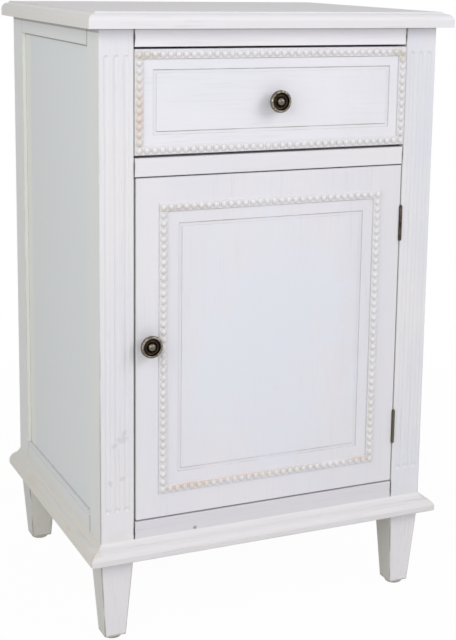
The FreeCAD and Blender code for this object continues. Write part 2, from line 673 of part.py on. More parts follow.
def make_legs():
    """The tapered legs, their hanger bolts and the glides under them."""
    rows = {"front": FRONT + POST_W / 2, "back": BACK - POST_W / 2}
    bolts, glides = [], []
    for row, y in rows.items():
        for side, name in ((-1, "left"), (1, "right")):
            x = side * (HALF_W - POST_W / 2)
            ends = [eased_square(x, y, GLIDE_H, LEG_FOOT_W), eased_square(x, y, BASE_Z, POST_W)]
            into = V(0, 0, GLIDE_NAIL_L + OVERRUN + BORE_PLAY)
            nail_hole = rod(GLIDE_NAIL_R + BORE_PLAY, V(x, y, GLIDE_H - OVERRUN), into)
            leg = Part.makeLoft(ends, True, True)
            pieces[row + "_" + name + "_leg"] = leg.cut([leg_bolt_hole(side, y), nail_hole])
            bolts.append(leg_bolt(side, y))
            disc = rod(GLIDE_R, V(x, y, 0), V(0, 0, GLIDE_H))
            foot = [edge for edge in disc.Edges if edge.BoundBox.ZMax < GLIDE_EDGE]
            disc = disc.makeFillet(GLIDE_EDGE, foot)
            glides.append(disc.fuse(rod(GLIDE_NAIL_R, V(x, y, GLIDE_H), V(0, 0, GLIDE_NAIL_L))))
    pieces["leg_bolts"] = Part.makeCompound(bolts)
    pieces["glides"] = Part.makeCompound(glides)


def make_drawer():
    """The drawer: front, sides, back, bottom, stop tab, beading and knob."""
    x, z = (-DRAWER_EDGE, DRAWER_EDGE), DRAWER_FRONT_Z
    side_in = DRAWER_EDGE - DRAWER_SIDE_T
    side_y = (FRONT + DRAWER_FRONT_T - DRAWER_LAP, DRAWER_END)
    bottom_x = grown((-side_in, side_in), PANEL_GROOVE)
    bottom_y = (FRONT + DRAWER_FRONT_T - PANEL_GROOVE, DRAWER_END)
    seat = block(bottom_x, grown(bottom_y, PANEL_PLAY), grown(DRAWER_BOTTOM_Z, PANEL_PLAY / 2))
    laps = [block(mirrored(side, side_in, DRAWER_EDGE), side_y, DRAWER_SIDE_Z) for side in (-1, 1)]
    front = board(x, (FRONT, FRONT + DRAWER_FRONT_T), z)
    front = front.cut(laps + [seat, knob_hole(0, DRAWER_KNOB_Z, DRAWER_FRONT_T)])
    pieces["drawer_front"] = scribed(front, x, z, DRAWER_SCRIBE_INSETS)
    for side, name in zip((-1, 1), ("left", "right")):
        pieces["drawer_" + name + "_side"] = laps[(side + 1) // 2].cut(seat)
    back_z = (DRAWER_BOTTOM_Z[1], DRAWER_SIDE_Z[1] - DRAWER_BACK_DROP)
    back_y = (DRAWER_END - DRAWER_SIDE_T, DRAWER_END)
    pieces["drawer_back"] = board((-side_in, side_in), back_y, back_z)
    pieces["drawer_bottom"] = block(grown(bottom_x, -PANEL_PLAY), bottom_y, DRAWER_BOTTOM_Z)
    tab_z = (back_z[1] - STOP_TAB_FOOT, CARCASE_TOP - STOP_TAB_CLEAR)
    tab_y = (back_y[0] - STOP_TAB_T, back_y[0])
    pieces["drawer_stop_tab"] = board((-STOP_TAB_W / 2, STOP_TAB_W / 2), tab_y, tab_z)
    pieces["drawer_beading"] = bead_frame(*inside(x, z, DRAWER_BEAD_INSETS))
    pieces["drawer_knob"] = knob(0, DRAWER_KNOB_Z)
    pieces["drawer_knob_screw"] = knob_screw(0, DRAWER_KNOB_Z, DRAWER_FRONT_T)


def make_door():
    """The door: slab, beading, knob, its hinge leaves and the strike plate."""
    x, z = DOOR_X, DOOR_Z
    knob_x, knob_z = DOOR_X[0] + DOOR_BEAD_INSETS[0] / 2, DOOR_MID_Z + DOOR_KNOB_RISE
    slab = board(x, (FRONT, FRONT + DOOR_T), z)
    slab = slab.cut(hinge_mortises(-1) + hinge_screws(-1, BORE_PLAY) + strike_screws(BORE_PLAY))
    slab = slab.cut(knob_hole(knob_x, knob_z, DOOR_T))
    pieces["door_slab"] = scribed(slab, x, z, DOOR_SCRIBE_INSETS)
    pieces["door_beading"] = bead_frame(*inside(x, z, DOOR_BEAD_INSETS))
    pieces["door_knob"] = knob(knob_x, knob_z)
    pieces["door_knob_screw"] = knob_screw(knob_x, knob_z, DOOR_T)
    strike_x, strike_z = grown((CATCH_X, CATCH_X), STRIKE_W / 2), (DOOR_Z[1] - STRIKE_H, DOOR_Z[1])
    strike = block(strike_x, (FRONT + DOOR_T, STRIKE_BACK), strike_z)
    pieces["strike_plate"] = strike.cut(strike_screws(BORE_PLAY))


def make_hinges_and_catch():
    """The leaves, pins and screws of the two hinges, and the magnetic catch."""
    bottoms = hinge_bottoms()
    pieces["post_hinge_leaves"] = Part.makeCompound([hinge_leaf(1, bottom) for bottom in bottoms])
    pieces["door_hinge_leaves"] = Part.makeCompound([hinge_leaf(-1, bottom) for bottom in bottoms])
    pieces["hinge_pins"] = Part.makeCompound([hinge_pin(bottom) for bottom in bottoms])
    pieces["carcase_hardware_screws"] = Part.makeCompound(hinge_screws(1) + catch_screws())
    pieces["door_hardware_screws"] = Part.makeCompound(hinge_screws(-1) + strike_screws())
    x, z = grown((CATCH_X, CATCH_X), CATCH_W / 2), (DOOR_HEAD_Z - CATCH_H, DOOR_HEAD_Z)
    magnet = block(grown(x, -CATCH_WALL), (CATCH_FRONT, CATCH_FRONT + MAGNET_D), grown(z, -CATCH_WALL))
    body = board(x, (CATCH_FRONT, CATCH_FRONT + CATCH_D), z)
    pieces["catch_body"] = body.cut([magnet] + catch_screws(BORE_PLAY))
    pieces["catch_magnet"] = magnet


def export():
    """Each piece goes to a STEP file of its own, named after its node."""
    os.makedirs("parts", exist_ok=True)
    for name, shape in pieces.items():
        solids = shape.Solids
        if not solids or not all(solid.isValid() and solid.Volume > 0 for solid in solids):
            raise ValueError("no valid solid in " + name)
        whole = solids[0] if len(solids) == 1 else Part.makeCompound(solids)
        whole.exportStep("parts/" + name + ".step")
    print(len(pieces), "nodes,", sum(len(shape.Solids) for shape in pieces.values()), "solids")


make_top()
make_posts()
make_rails()
make_panels()
make_drawer_supports()
make_cupboard()
make_base_moulding()
make_legs()
make_drawer()
make_door()
make_hinges_and_catch()
export()
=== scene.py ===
"""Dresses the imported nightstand: whitewashed woodwork, beaded frames, turned knobs, hinges and its studio."""

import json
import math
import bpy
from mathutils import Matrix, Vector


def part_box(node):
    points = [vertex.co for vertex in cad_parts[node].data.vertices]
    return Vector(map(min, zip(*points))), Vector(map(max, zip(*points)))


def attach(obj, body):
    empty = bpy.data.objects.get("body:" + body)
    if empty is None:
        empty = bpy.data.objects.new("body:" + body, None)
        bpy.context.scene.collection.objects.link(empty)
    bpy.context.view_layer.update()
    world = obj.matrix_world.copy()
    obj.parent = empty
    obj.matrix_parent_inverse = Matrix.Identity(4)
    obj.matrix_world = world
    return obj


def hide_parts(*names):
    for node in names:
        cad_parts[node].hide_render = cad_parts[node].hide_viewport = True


bl_info = {
    "name": "Whitewashed Nightstand",
    "version": (1, 0, 0),
    "blender": (4, 5, 0),
    "location": "View3D > Sidebar > Nightstand",
    "description": "Finishes a nightstand's woodwork, beading and hardware, and sets up its studio",
    "category": "Object",
}

from collections import namedtuple

import bmesh
import bpy
from bpy.props import FloatProperty, FloatVectorProperty, PointerProperty
from mathutils import Matrix, Vector

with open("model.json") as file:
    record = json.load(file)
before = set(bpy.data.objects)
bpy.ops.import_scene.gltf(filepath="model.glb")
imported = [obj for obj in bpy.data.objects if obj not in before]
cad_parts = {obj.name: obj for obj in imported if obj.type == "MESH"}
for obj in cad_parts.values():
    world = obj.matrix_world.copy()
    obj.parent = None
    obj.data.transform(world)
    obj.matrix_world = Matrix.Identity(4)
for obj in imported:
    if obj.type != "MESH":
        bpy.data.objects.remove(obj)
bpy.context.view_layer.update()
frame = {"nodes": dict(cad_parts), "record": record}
RECORD = frame["record"]
MM = 0.001

SIDES = ("left", "right")
ALONG = {"ACROSS": (1, 0, 0), "DEEP": (0, 1, 0), "UP": (0, 0, 1)}
GRAIN_TURN = {"ACROSS": (0, math.pi / 2, 0), "DEEP": (math.pi / 2, 0, 0), "UP": (0, 0, 0)}

# Bare wood: the timber, the way its grain runs and the CAD nodes made of it.
BARE_WOOD = (
    ("bare_pine", "UP", ("drawer_stop_tab",)),
    ("bare_pine", "ACROSS", ("back_top_rail", "back_mid_rail", "back_bottom_rail", "drawer_stop_blocks",
                             "cupboard_floor", "shelf", "drawer_back")),
    ("bare_pine", "DEEP", ("left_drawer_runner", "right_drawer_runner", "left_kicker", "right_kicker",
                           "floor_bearers", "shelf_cleats")),
    ("drawer_pine", "DEEP", ("drawer_left_side", "drawer_right_side")),
    ("birch_ply", "UP", ("back_panel",)),
    ("birch_ply", "ACROSS", ("dust_panel", "drawer_bottom")),
)

# Shares of the painted shade along the scribed grooves and beside the beading, by the run of the frame; they are
# strongest on the edges that light from above leaves in shade.
OUTER_GROOVE = {"Top": 1.0, "Bottom": 0.25, "Sides": 0.22}
INNER_GROOVE = {"Top": 0.20, "Bottom": 1.0, "Sides": 0.05}
OVER_BEADING = {"Top": 0.0, "Bottom": 0.45, "Sides": 0.10}
UNDER_BEADING = {"Top": 0.45, "Bottom": 0.10, "Sides": 0.15}

# Nicks low on the left post, in mm: across from its middle, height over the floor, half width, half height.
NICKS = ((5, 234, 9, 5), (-3, 228, 5, 4), (8, 241, 4, 6), (-8, 186, 4, 5), (6, 190, 5, 4))

# Marks on the beading: frame, corner, offset from it and reach in mm, strength and tint.
BEADING_MARKS = (
    ("door_beading", "left", "bottom", (34, 0, 6), (34, 10, 3.5), 0.34, "rubbed"),
    ("door_beading", "left", "bottom", (110, 0, 7), (120, 10, 3), 0.26, "rubbed"),
    ("door_beading", "right", "bottom", (-18, 0, 7), (22, 10, 2.5), 0.46, "rubbed"),
    ("drawer_beading", "left", "bottom", (4, 0, 44), (6, 10, 56), 0.34, "rubbed"),
    ("door_beading", "left", "bottom", (4, 0, 70), (5, 10, 70), 0.09, "rubbed"),
    ("door_beading", "left", "bottom", (4, 0, 215), (5, 10, 95), 0.06, "rubbed"),
    ("door_beading", "right", "bottom", (-4, 0, 60), (5, 10, 60), 0.12, "rubbed"),
    ("drawer_beading", "left", "top", (10, 0, -6), (22, 10, 7), 0.5, "glaze"),
    ("drawer_beading", "right", "top", (-8, 0, -8), (16, 10, 10), 0.5, "glaze"),
    ("door_beading", "left", "top", (26, 0, -8), (34, 10, 7), 0.35, "glaze"),
)

# The photograph's size and the point straight ahead of its camera, in pixels.
PHOTO_WIDTH, PHOTO_HEIGHT = 456, 640
AHEAD_X, AHEAD_Y = 266.24, 224.61

# Points of the CAD screws nearer than this are one point, or lie on the same end of the screw.
SAME_POINT, SAME_LEVEL = 0.002 * MM, 0.05 * MM

WHITE = (1, 1, 1, 1)

Line = namedtuple("Line", "direction position width strength tint")
Spot = namedtuple("Spot", "centre reach strength tint")
Outline = namedtuple("Outline", "centre half width shares")


def colour_setting(name, description, default):
    """A colour that a user may change."""
    return FloatVectorProperty(name=name, description=description, subtype="COLOR", size=3, min=0.0, max=1.0,
                               default=default)


def length_setting(name, description, millimetres):
    """A length that a user may change."""
    return FloatProperty(name=name, description=description, subtype="DISTANCE", default=millimetres * MM)


def angle_setting(name, description, degrees):
    """An angle that a user may change."""
    return FloatProperty(name=name, description=description, subtype="ANGLE", default=math.radians(degrees))


def insets_setting(name, description, aside, up):
    """Two insets from an edge that a user may change, given in mm."""
    return FloatVectorProperty(name=name, description=description, subtype="XYZ_LENGTH", size=2,
                               default=(aside * MM, up * MM))


class PaintSettings(bpy.types.PropertyGroup):
    """Colours of the antique whitewash."""

    chalk: colour_setting("Chalk", "The whitewash of the front", (0.83, 0.815, 0.845))
    cool: colour_setting("Cool cast", "Bluish patches in the whitewash", (0.755, 0.765, 0.84))
    # Painted shade: a darker, greyer copy of the chalk for the faces that look aside.
    flank: colour_setting("Flank", "The greyer whitewash of the sides", (0.77, 0.785, 0.77))
    # Painted shade: a darker copy of the chalk for the side panels, which look aside.
    panel: colour_setting("Panel", "The cool grey of the side panels", (0.755, 0.78, 0.78))
    # Painted light: brighter than the chalk, lifting the shade under the top's overhang.
    apron: colour_setting("Apron", "The bright whitewash under the top", (0.89, 0.875, 0.905))
    drawer: colour_setting("Drawer", "The clean whitewash of the drawer front", (0.855, 0.85, 0.90))
    door: colour_setting("Door", "The whitewash of the door's margins", (0.825, 0.81, 0.85))
    field: colour_setting("Field", "Bluish whitewash over the middle of the door", (0.80, 0.82, 0.90))
    # Darker than the chalk, for the sill rail low on the front.
    sill: colour_setting("Sill", "The dustier whitewash of the sill rail", (0.74, 0.72, 0.755))
    base: colour_setting("Base", "The dustier whitewash of the base moulding", (0.78, 0.76, 0.775))
    # Also painted shade on the side faces of the base mouldings.
    cream: colour_setting("Cream", "Yellowed whitewash of mouldings and legs", (0.75, 0.725, 0.665))
    # Also painted shade on the top's side faces.
    edge: colour_setting("Top edge", "The slightly yellowed side edge of the top", (0.775, 0.755, 0.72))
    # Painted light: a lighter cream that lifts the shaded back posts, the back legs and the side panels beside
    # the back posts.
    reveal: colour_setting("Reveal", "Cream in the angle between back post and panel", (0.86, 0.865, 0.81))
    # Painted shade: a darker copy of the chalk for the legs' side faces.
    leg_side: colour_setting("Leg side", "The greenish grey sides of the legs", (0.66, 0.66, 0.63))
    # Painted shade between the pearls and on their right-hand faces, mixed with glazing.
    haze: colour_setting("Haze", "Grey-violet glaze between the pearls", (0.56, 0.525, 0.51))
    # Also the tint of the painted shade towards the fronts' right edges and at the ends of the flutes.
    streak: colour_setting("Grain streak", "Grey grain that shows through", (0.50, 0.48, 0.47))
    # Cream glazing at the beading's top corners, and the tint of the painted shade in the flutes of the posts.
    glaze: colour_setting("Glaze", "Cream glaze left in the crevices", (0.62, 0.56, 0.46))
    # Dark tint for the nail hole and the side rails' joints, and for painted shade and shadow in the deepest
    # crevices, the front seams, under the top and along the side panels' rails.
    soot: colour_setting("Soot", "Dark glaze in the deepest crevices", (0.22, 0.20, 0.18))
    rubbed: colour_setting("Rubbed wood", "Warm wood where the paint is rubbed thin", (0.68, 0.47, 0.29))
    # Also the tint of the painted shade along the scribed grooves and beside the beading.
    arris: colour_setting("Arris", "Brown-grey line along worn arrises", (0.42, 0.37, 0.33))


class TimberSettings(bpy.types.PropertyGroup):
    """Colours of the bare wood inside."""

    pine: colour_setting("Pine", "Pale wood of the drawer, the shelf and the rails", (0.66, 0.50, 0.32))
    pine_rings: colour_setting("Pine rings", "Dark rings in the pine", (0.50, 0.33, 0.18))
    birch: colour_setting("Birch", "Pale wood of the thin panels", (0.64, 0.52, 0.37))
    birch_rings: colour_setting("Birch rings", "Dark rings in the birch", (0.52, 0.39, 0.25))
    # Painted shadow on the drawer sides just behind the front, seen through the gap.
    gap_shadow: colour_setting("Stain", "Dark glaze behind the drawer front", (0.045, 0.038, 0.032))


class HardwareSettings(bpy.types.PropertyGroup):
    """Sizes of the beading and the screws, and the colours of the metals."""

    strip_width: length_setting("Strip width", "Width of the strip under the pearls", 9.0)
    strip_thickness: length_setting("Strip thickness", "Thickness of the strip under the pearls", 1.6)
    pearl_radius: length_setting("Pearl radius", "Radius of one pearl of the beading", 4.1)
    pearl_pitch: length_setting("Pearl pitch", "Wanted distance between pearls", 8.6)
    screw_shank: length_setting("Screw shank", "Radius of the wood screws' shanks", 1.4)
    knob_screw_shank: length_setting("Knob screw shank", "Radius of the knob screws' shanks", 2.0)
    scribe_width: length_setting("Groove width", "Width of the scribed grooves", 4.0)
    drawer_scribe: insets_setting("Drawer groove", "Insets of the drawer front's groove", 20.2, 21.0)
    door_scribe: insets_setting("Door groove", "Insets of the door's groove", 48.5, 49.7)
    bronze: colour_setting("Bronze", "Rims and domes of the knobs", (0.19, 0.165, 0.125))
    bronze_dark: colour_setting("Dark bronze", "Hollows of the knobs", (0.030, 0.022, 0.018))
    bronze_rub: colour_setting("Rubbed bronze", "Crests where the patina is rubbed off", (0.50, 0.44, 0.36))
    hinge_bronze: colour_setting("Hinge bronze", "Aged brown of the hinges", (0.085, 0.068, 0.055))
    hinge_olive: colour_setting("Hinge olive", "Greener bronze low down on the hinges", (0.14, 0.13, 0.085))
    zinc: colour_setting("Zinc", "Plated screws and plates", (0.55, 0.55, 0.54))
    nickel: colour_setting("Nickel", "Dull rims of the glides", (0.34, 0.32, 0.29))
    plastic: colour_setting("Plastic", "Brown body of the catch", (0.055, 0.033, 0.020))
    ferrite: colour_setting("Ferrite", "The catch's magnet", (0.030, 0.030, 0.032))


class StageSettings(bpy.types.PropertyGroup):
    """The camera and the lamps."""

    camera_place: FloatVectorProperty(name="Camera", description="Where the camera stands",
                                      subtype="TRANSLATION", size=3, default=(-0.63811, -1.50116, 0.74081))
    camera_yaw: angle_setting("Yaw", "Turn of the camera to its right", 25.11)
    camera_dip: angle_setting("Dip", "Angle at which the camera looks down", 10.72)
    camera_roll: angle_setting("Roll", "Roll of the camera", 1.03)
    lens: FloatProperty(name="Lens", description="Focal length for a 36 mm long side", default=77.36)
    sky: FloatProperty(name="Sky", description="Strength of the even light from all round", default=0.44)
    key: FloatProperty(name="Key lamp", description="Power of the lamp at the front right", default=31.0)
    fill: FloatProperty(name="Fill lamp", description="Power of the lamp at the front left", default=8.4)


def settings(name):
    """One of the groups of settings that main registers on the scene."""
    return getattr(bpy.context.scene, name)


def body_of_node(node):
    """The CAD body that a node belongs to."""
    for body, nodes in RECORD["behaviour"]["bodies"].items():
        if node in nodes:
            return body
    raise KeyError(node)


def slot_of_node(node):
    """The record's material slot of a node."""
    return next(part["material_slot"] for part in RECORD["subparts"] if part["node"] == node)


def middle_of(low, high):
    """The point halfway between two corners."""
    return [(start + end) / 2 for start, end in zip(low, high)]


def front_corner(node, side, level):
    """A corner of the front of a node's box: left or right, bottom or top."""
    low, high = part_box(node)
    return (high if side == "right" else low)[0], low[1], (high if level == "top" else low)[2]


def spot(origin, offset, reach, strength, tint):
    """A ragged spot at an offset from a point, with a reach along each axis; offset and reach are in mm."""
    return Spot([place + shift * MM for place, shift in zip(origin, offset)], [size * MM for size in reach],
                strength, tint)


def line(way, position, shift, width, strength, tint):
    """A line across one way at a position, shifted and as wide as given in mm."""
    return Line(ALONG[way], position + shift * MM, width * MM, strength, tint)


def add(tree, kind, inputs=None, **props):
    """A node of one kind, with its properties set and its inputs linked or filled in."""
    node = tree.nodes.new(kind)
    for key, value in props.items():
        setattr(node, key, value)
    for key, value in (inputs or {}).items():
        socket = node.inputs[key]
        if isinstance(value, bpy.types.NodeSocket):
            tree.links.new(value, socket)
        else:
            socket.default_value = value
    return node


def result(tree, kind, inputs=None, **props):
    """The first output of a new node."""
    return add(tree, kind, inputs, **props).outputs[0]


def math_node(tree, operation, *values):
    """The result of one sum on numbers or sockets."""
    return result(tree, "ShaderNodeMath", dict(enumerate(values)), operation=operation)


def times(tree, first, second):
    """The product of two numbers or sockets."""
    return math_node(tree, "MULTIPLY", first, second)


def vector_node(tree, operation, *values, output="Vector"):
    """What one sum on vectors or sockets gives."""
    return add(tree, "ShaderNodeVectorMath", dict(enumerate(values)), operation=operation).outputs[output]


def separated(tree, vector):
    """The three parts of a vector."""
    return add(tree, "ShaderNodeSeparateXYZ", {0: vector}).outputs


def surface_normal(tree, kind):
    """The normal of the face ("True Normal") or of the smoothed surface ("Normal")."""
    return add(tree, "ShaderNodeNewGeometry").outputs[kind]


def noise(tree, vector, scale, detail, roughness=0.5):
    """A noise value."""
    return result(tree, "ShaderNodeTexNoise", {"Vector": vector, "Scale": scale, "Detail": detail,
                                               "Roughness": roughness})


def ramped(tree, value, low, high):
    """A value spread smoothly from 0 at the first bound to 1 at the second, whichever is the larger."""
    return result(tree, "ShaderNodeMapRange", {"Value": value, "From Min": low, "From Max": high},
                  interpolation_type="SMOOTHSTEP")


def band(tree, value, start, low, high, end):
    """A value that is 1 between two bounds and falls to 0 at the outer ones."""
    return times(tree, ramped(tree, value, start, low), ramped(tree, value, end, high))


def mix(tree, mask, below, above):
    """A colour mix by a mask; each side is a colour or a socket."""
    node = tree.nodes.new("ShaderNodeMix")
    node.data_type = "RGBA"
    tree.links.new(mask, node.inputs[0])
    for key, value in ((6, below), (7, above)):
        if isinstance(value, bpy.types.NodeSocket):
            tree.links.new(value, node.inputs[key])
        else:
            node.inputs[key].default_value = (*value[:3], 1.0)
    return node.outputs[2]


def tinted(tree, colour, mask, strength, tint):
    """A colour with a tint over it where a mask is, at a strength."""
    return mix(tree, times(tree, mask, strength), colour, tint)


def node_group(kind, name, inputs, outputs):
    """Lets a function that fills in a node group make the group once and hand it out each time."""
    def decorate(fill):
        def hand_out():
            if name in bpy.data.node_groups:
                return bpy.data.node_groups[name]
            tree = bpy.data.node_groups.new(name, kind)
            for way, sockets in (("INPUT", inputs), ("OUTPUT", outputs)):
                for label, (holds, default) in sockets.items():
                    socket = tree.interface.new_socket(label, in_out=way, socket_type="NodeSocket" + holds)
                    if default is not None:
                        socket.default_value = default
            start, end = tree.nodes.new("NodeGroupInput"), tree.nodes.new("NodeGroupOutput")
            for label, fed in fill(tree, start.outputs).items():
                tree.links.new(fed, end.inputs[label])
            return tree
        return hand_out
    return decorate


PLACE = ("Vector", None)
NUMBER = ("Float", None)


@node_group("ShaderNodeTree", "Brushed Grain", {"Vector": PLACE, "Fineness": ("Float", 1.0)},
            {"Streak": NUMBER, "Patch": NUMBER, "Height": NUMBER})
def brushed_grain(tree, given):
    """Wavy grain along Z, as a streak mask, a patch mask and a height."""
    sized = add(tree, "ShaderNodeVectorMath", {0: given["Vector"], "Scale": given["Fineness"]},
                operation="SCALE").outputs["Vector"]
    sway = add(tree, "ShaderNodeTexNoise", {"Vector": sized, "Scale": 14.0, "Detail": 1.0}).outputs["Color"]
    swayed = vector_node(tree, "MULTIPLY_ADD", sway, (0.006, 0.006, 0), sized)
    masks = {}
    for key, scale, detail, low, high in (("Streak", (420, 420, 13), 4.0, 0.50, 0.74),
                                          ("Cluster", (26, 26, 7), 2.0, 0.38, 0.62),
                                          ("Patch", (13, 13, 5), 1.0, 0.36, 0.64),
                                          ("Height", (700, 700, 22), 3.0, 0.2, 0.8)):
        stretched = vector_node(tree, "MULTIPLY", swayed, scale)
        masks[key] = ramped(tree, noise(tree, stretched, 1.0, detail, 0.6), low, high)
    share = math_node(tree, "MULTIPLY_ADD", masks.pop("Cluster"), 0.75, 0.25)
    masks["Streak"] = times(tree, masks["Streak"], share)
    return masks


@node_group("ShaderNodeTree", "Arris Wear",
            {"Vector": PLACE, "Beyond": ("Float", 0.0), "Below": ("Float", 10.0)}, {"Mask": NUMBER})
def arris_wear(tree, given):
    """Narrow eased faces beyond a distance from the middle, most of all below a height, broken by noise."""
    parts = separated(tree, vector_node(tree, "ABSOLUTE", surface_normal(tree, "True Normal")))
    squareness = math_node(tree, "MAXIMUM", math_node(tree, "MAXIMUM", parts[0], parts[1]), parts[2])
    slanted = ramped(tree, squareness, 0.985, 0.93)
    broken = ramped(tree, noise(tree, given["Vector"], 40.0, 4.0), 0.34, 0.60)
    place = separated(tree, vector_node(tree, "ABSOLUTE", given["Vector"]))
    outside = math_node(tree, "GREATER_THAN", place[0], given["Beyond"])
    above = math_node(tree, "SUBTRACT", place[2], given["Below"])
    low = math_node(tree, "MULTIPLY_ADD", ramped(tree, above, 0.15, 0.0), 0.8, 0.2)
    return {"Mask": times(tree, times(tree, times(tree, slanted, broken), outside), low)}


@node_group("ShaderNodeTree", "Flank Mask", {}, {"Mask": NUMBER})
def flank_mask(tree, given):
    """The faces that look to the left or the right."""
    aside = separated(tree, vector_node(tree, "ABSOLUTE", surface_normal(tree, "True Normal")))[0]
    return {"Mask": ramped(tree, aside, 0.45, 0.75)}


@node_group("ShaderNodeTree", "Frame Line",
            {"Vector": PLACE, "Centre": PLACE, "Half size": PLACE, "Width": ("Float", 0.001),
             "Top": ("Float", 1.0), "Bottom": ("Float", 1.0), "Sides": ("Float", 1.0)}, {"Mask": NUMBER})
def frame_line(tree, given):
    """A line round a rectangle that stands in the XZ plane, on surfaces near that plane."""
    offset = vector_node(tree, "SUBTRACT", given["Vector"], given["Centre"])
    away = vector_node(tree, "ABSOLUTE", offset)
    beyond = separated(tree, vector_node(tree, "SUBTRACT", away, given["Half size"]))
    off = math_node(tree, "ABSOLUTE", math_node(tree, "MAXIMUM", beyond[0], beyond[2]))
    drawn = ramped(tree, math_node(tree, "DIVIDE", off, given["Width"]), 1.0, 0.3)
    upper = math_node(tree, "GREATER_THAN", separated(tree, offset)[2], 0.0)
    level = result(tree, "ShaderNodeMix", {0: upper, 2: given["Bottom"], 3: given["Top"]})
    upright = math_node(tree, "GREATER_THAN", beyond[0], beyond[2])
    share = result(tree, "ShaderNodeMix", {0: upright, 2: level, 3: given["Sides"]})
    near = math_node(tree, "LESS_THAN", beyond[1], 0.0)
    uneven = noise(tree, given["Vector"], 30.0, 3.0)
    broken = result(tree, "ShaderNodeMapRange", {"Value": uneven, "From Min": 0.35, "From Max": 0.6,
                                                 "To Min": 0.45, "To Max": 1.0})
    return {"Mask": times(tree, times(tree, times(tree, drawn, share), near), broken)}


@node_group("ShaderNodeTree", "Ragged Spot", {"Vector": PLACE, "Centre": PLACE, "Reach": ("Vector", (0.01,) * 3)},
            {"Mask": NUMBER})
def ragged_spot(tree, given):
    """A ragged spot round a centre, with a reach along each axis."""
    away = vector_node(tree, "SUBTRACT", given["Vector"], given["Centre"])
    away = vector_node(tree, "DIVIDE", away, given["Reach"])
    ragged = noise(tree, vector_node(tree, "ADD", away, given["Centre"]), 2.2, 6.0, 0.7)
    length = vector_node(tree, "LENGTH", away, output="Value")
    edge = math_node(tree, "MULTIPLY_ADD", math_node(tree, "SUBTRACT", ragged, 0.5), 2.4, length)
    return {"Mask": ramped(tree, edge, 1.05, 0.30)}


@node_group("ShaderNodeTree", "Tint Line",
            {"Vector": PLACE, "Direction": ("Vector", (0, 0, 1)), "Position": ("Float", 0.0),
             "Width": ("Float", 0.001)}, {"Mask": NUMBER})
def tint_line(tree, given):
    """A soft line where one direction's distance is near a position."""
    along = vector_node(tree, "DOT_PRODUCT", given["Vector"], given["Direction"], output="Value")
    off = math_node(tree, "ABSOLUTE", math_node(tree, "SUBTRACT", along, given["Position"]))
    return {"Mask": ramped(tree, math_node(tree, "DIVIDE", off, given["Width"]), 1.0, 0.4)}


def grouped(tree, group, coords, inputs=None):
    """The outputs of a shader group that reads the object coordinates."""
    node = add(tree, "ShaderNodeGroup", node_tree=group)
    tree.links.new(coords, node.inputs["Vector"])
    for label, value in (inputs or {}).items():
        node.inputs[label].default_value = value
    return node.outputs


def along_grain(tree, coords, run):
    """Object coordinates turned so that the grain runs along Z."""
    return result(tree, "ShaderNodeMapping", {"Vector": coords, "Rotation": GRAIN_TURN[run]})


def material(fill):
    """Lets a function that fills in a material make it once for each name and hand it out each time."""
    def hand_out(name, *values, **options):
        if name not in bpy.data.materials:
            made = bpy.data.materials.new(name)
            made.use_nodes = True
            tree = made.node_tree
            coords = add(tree, "ShaderNodeTexCoord").outputs["Object"]
            fill(tree, tree.nodes["Principled BSDF"], coords, *values, **options)
        return bpy.data.materials[name]
    return hand_out


def wooden(tree, shader, colour, roughness, height, strength):
    """Gives a shader a wood's colour, its roughness and the relief of its grain."""
    tree.links.new(colour, shader.inputs["Base Color"])
    shader.inputs["Roughness"].default_value = roughness
    bump = result(tree, "ShaderNodeBump", {"Height": height, "Strength": strength, "Distance": 0.1 * MM})
    tree.links.new(bump, shader.inputs["Normal"])


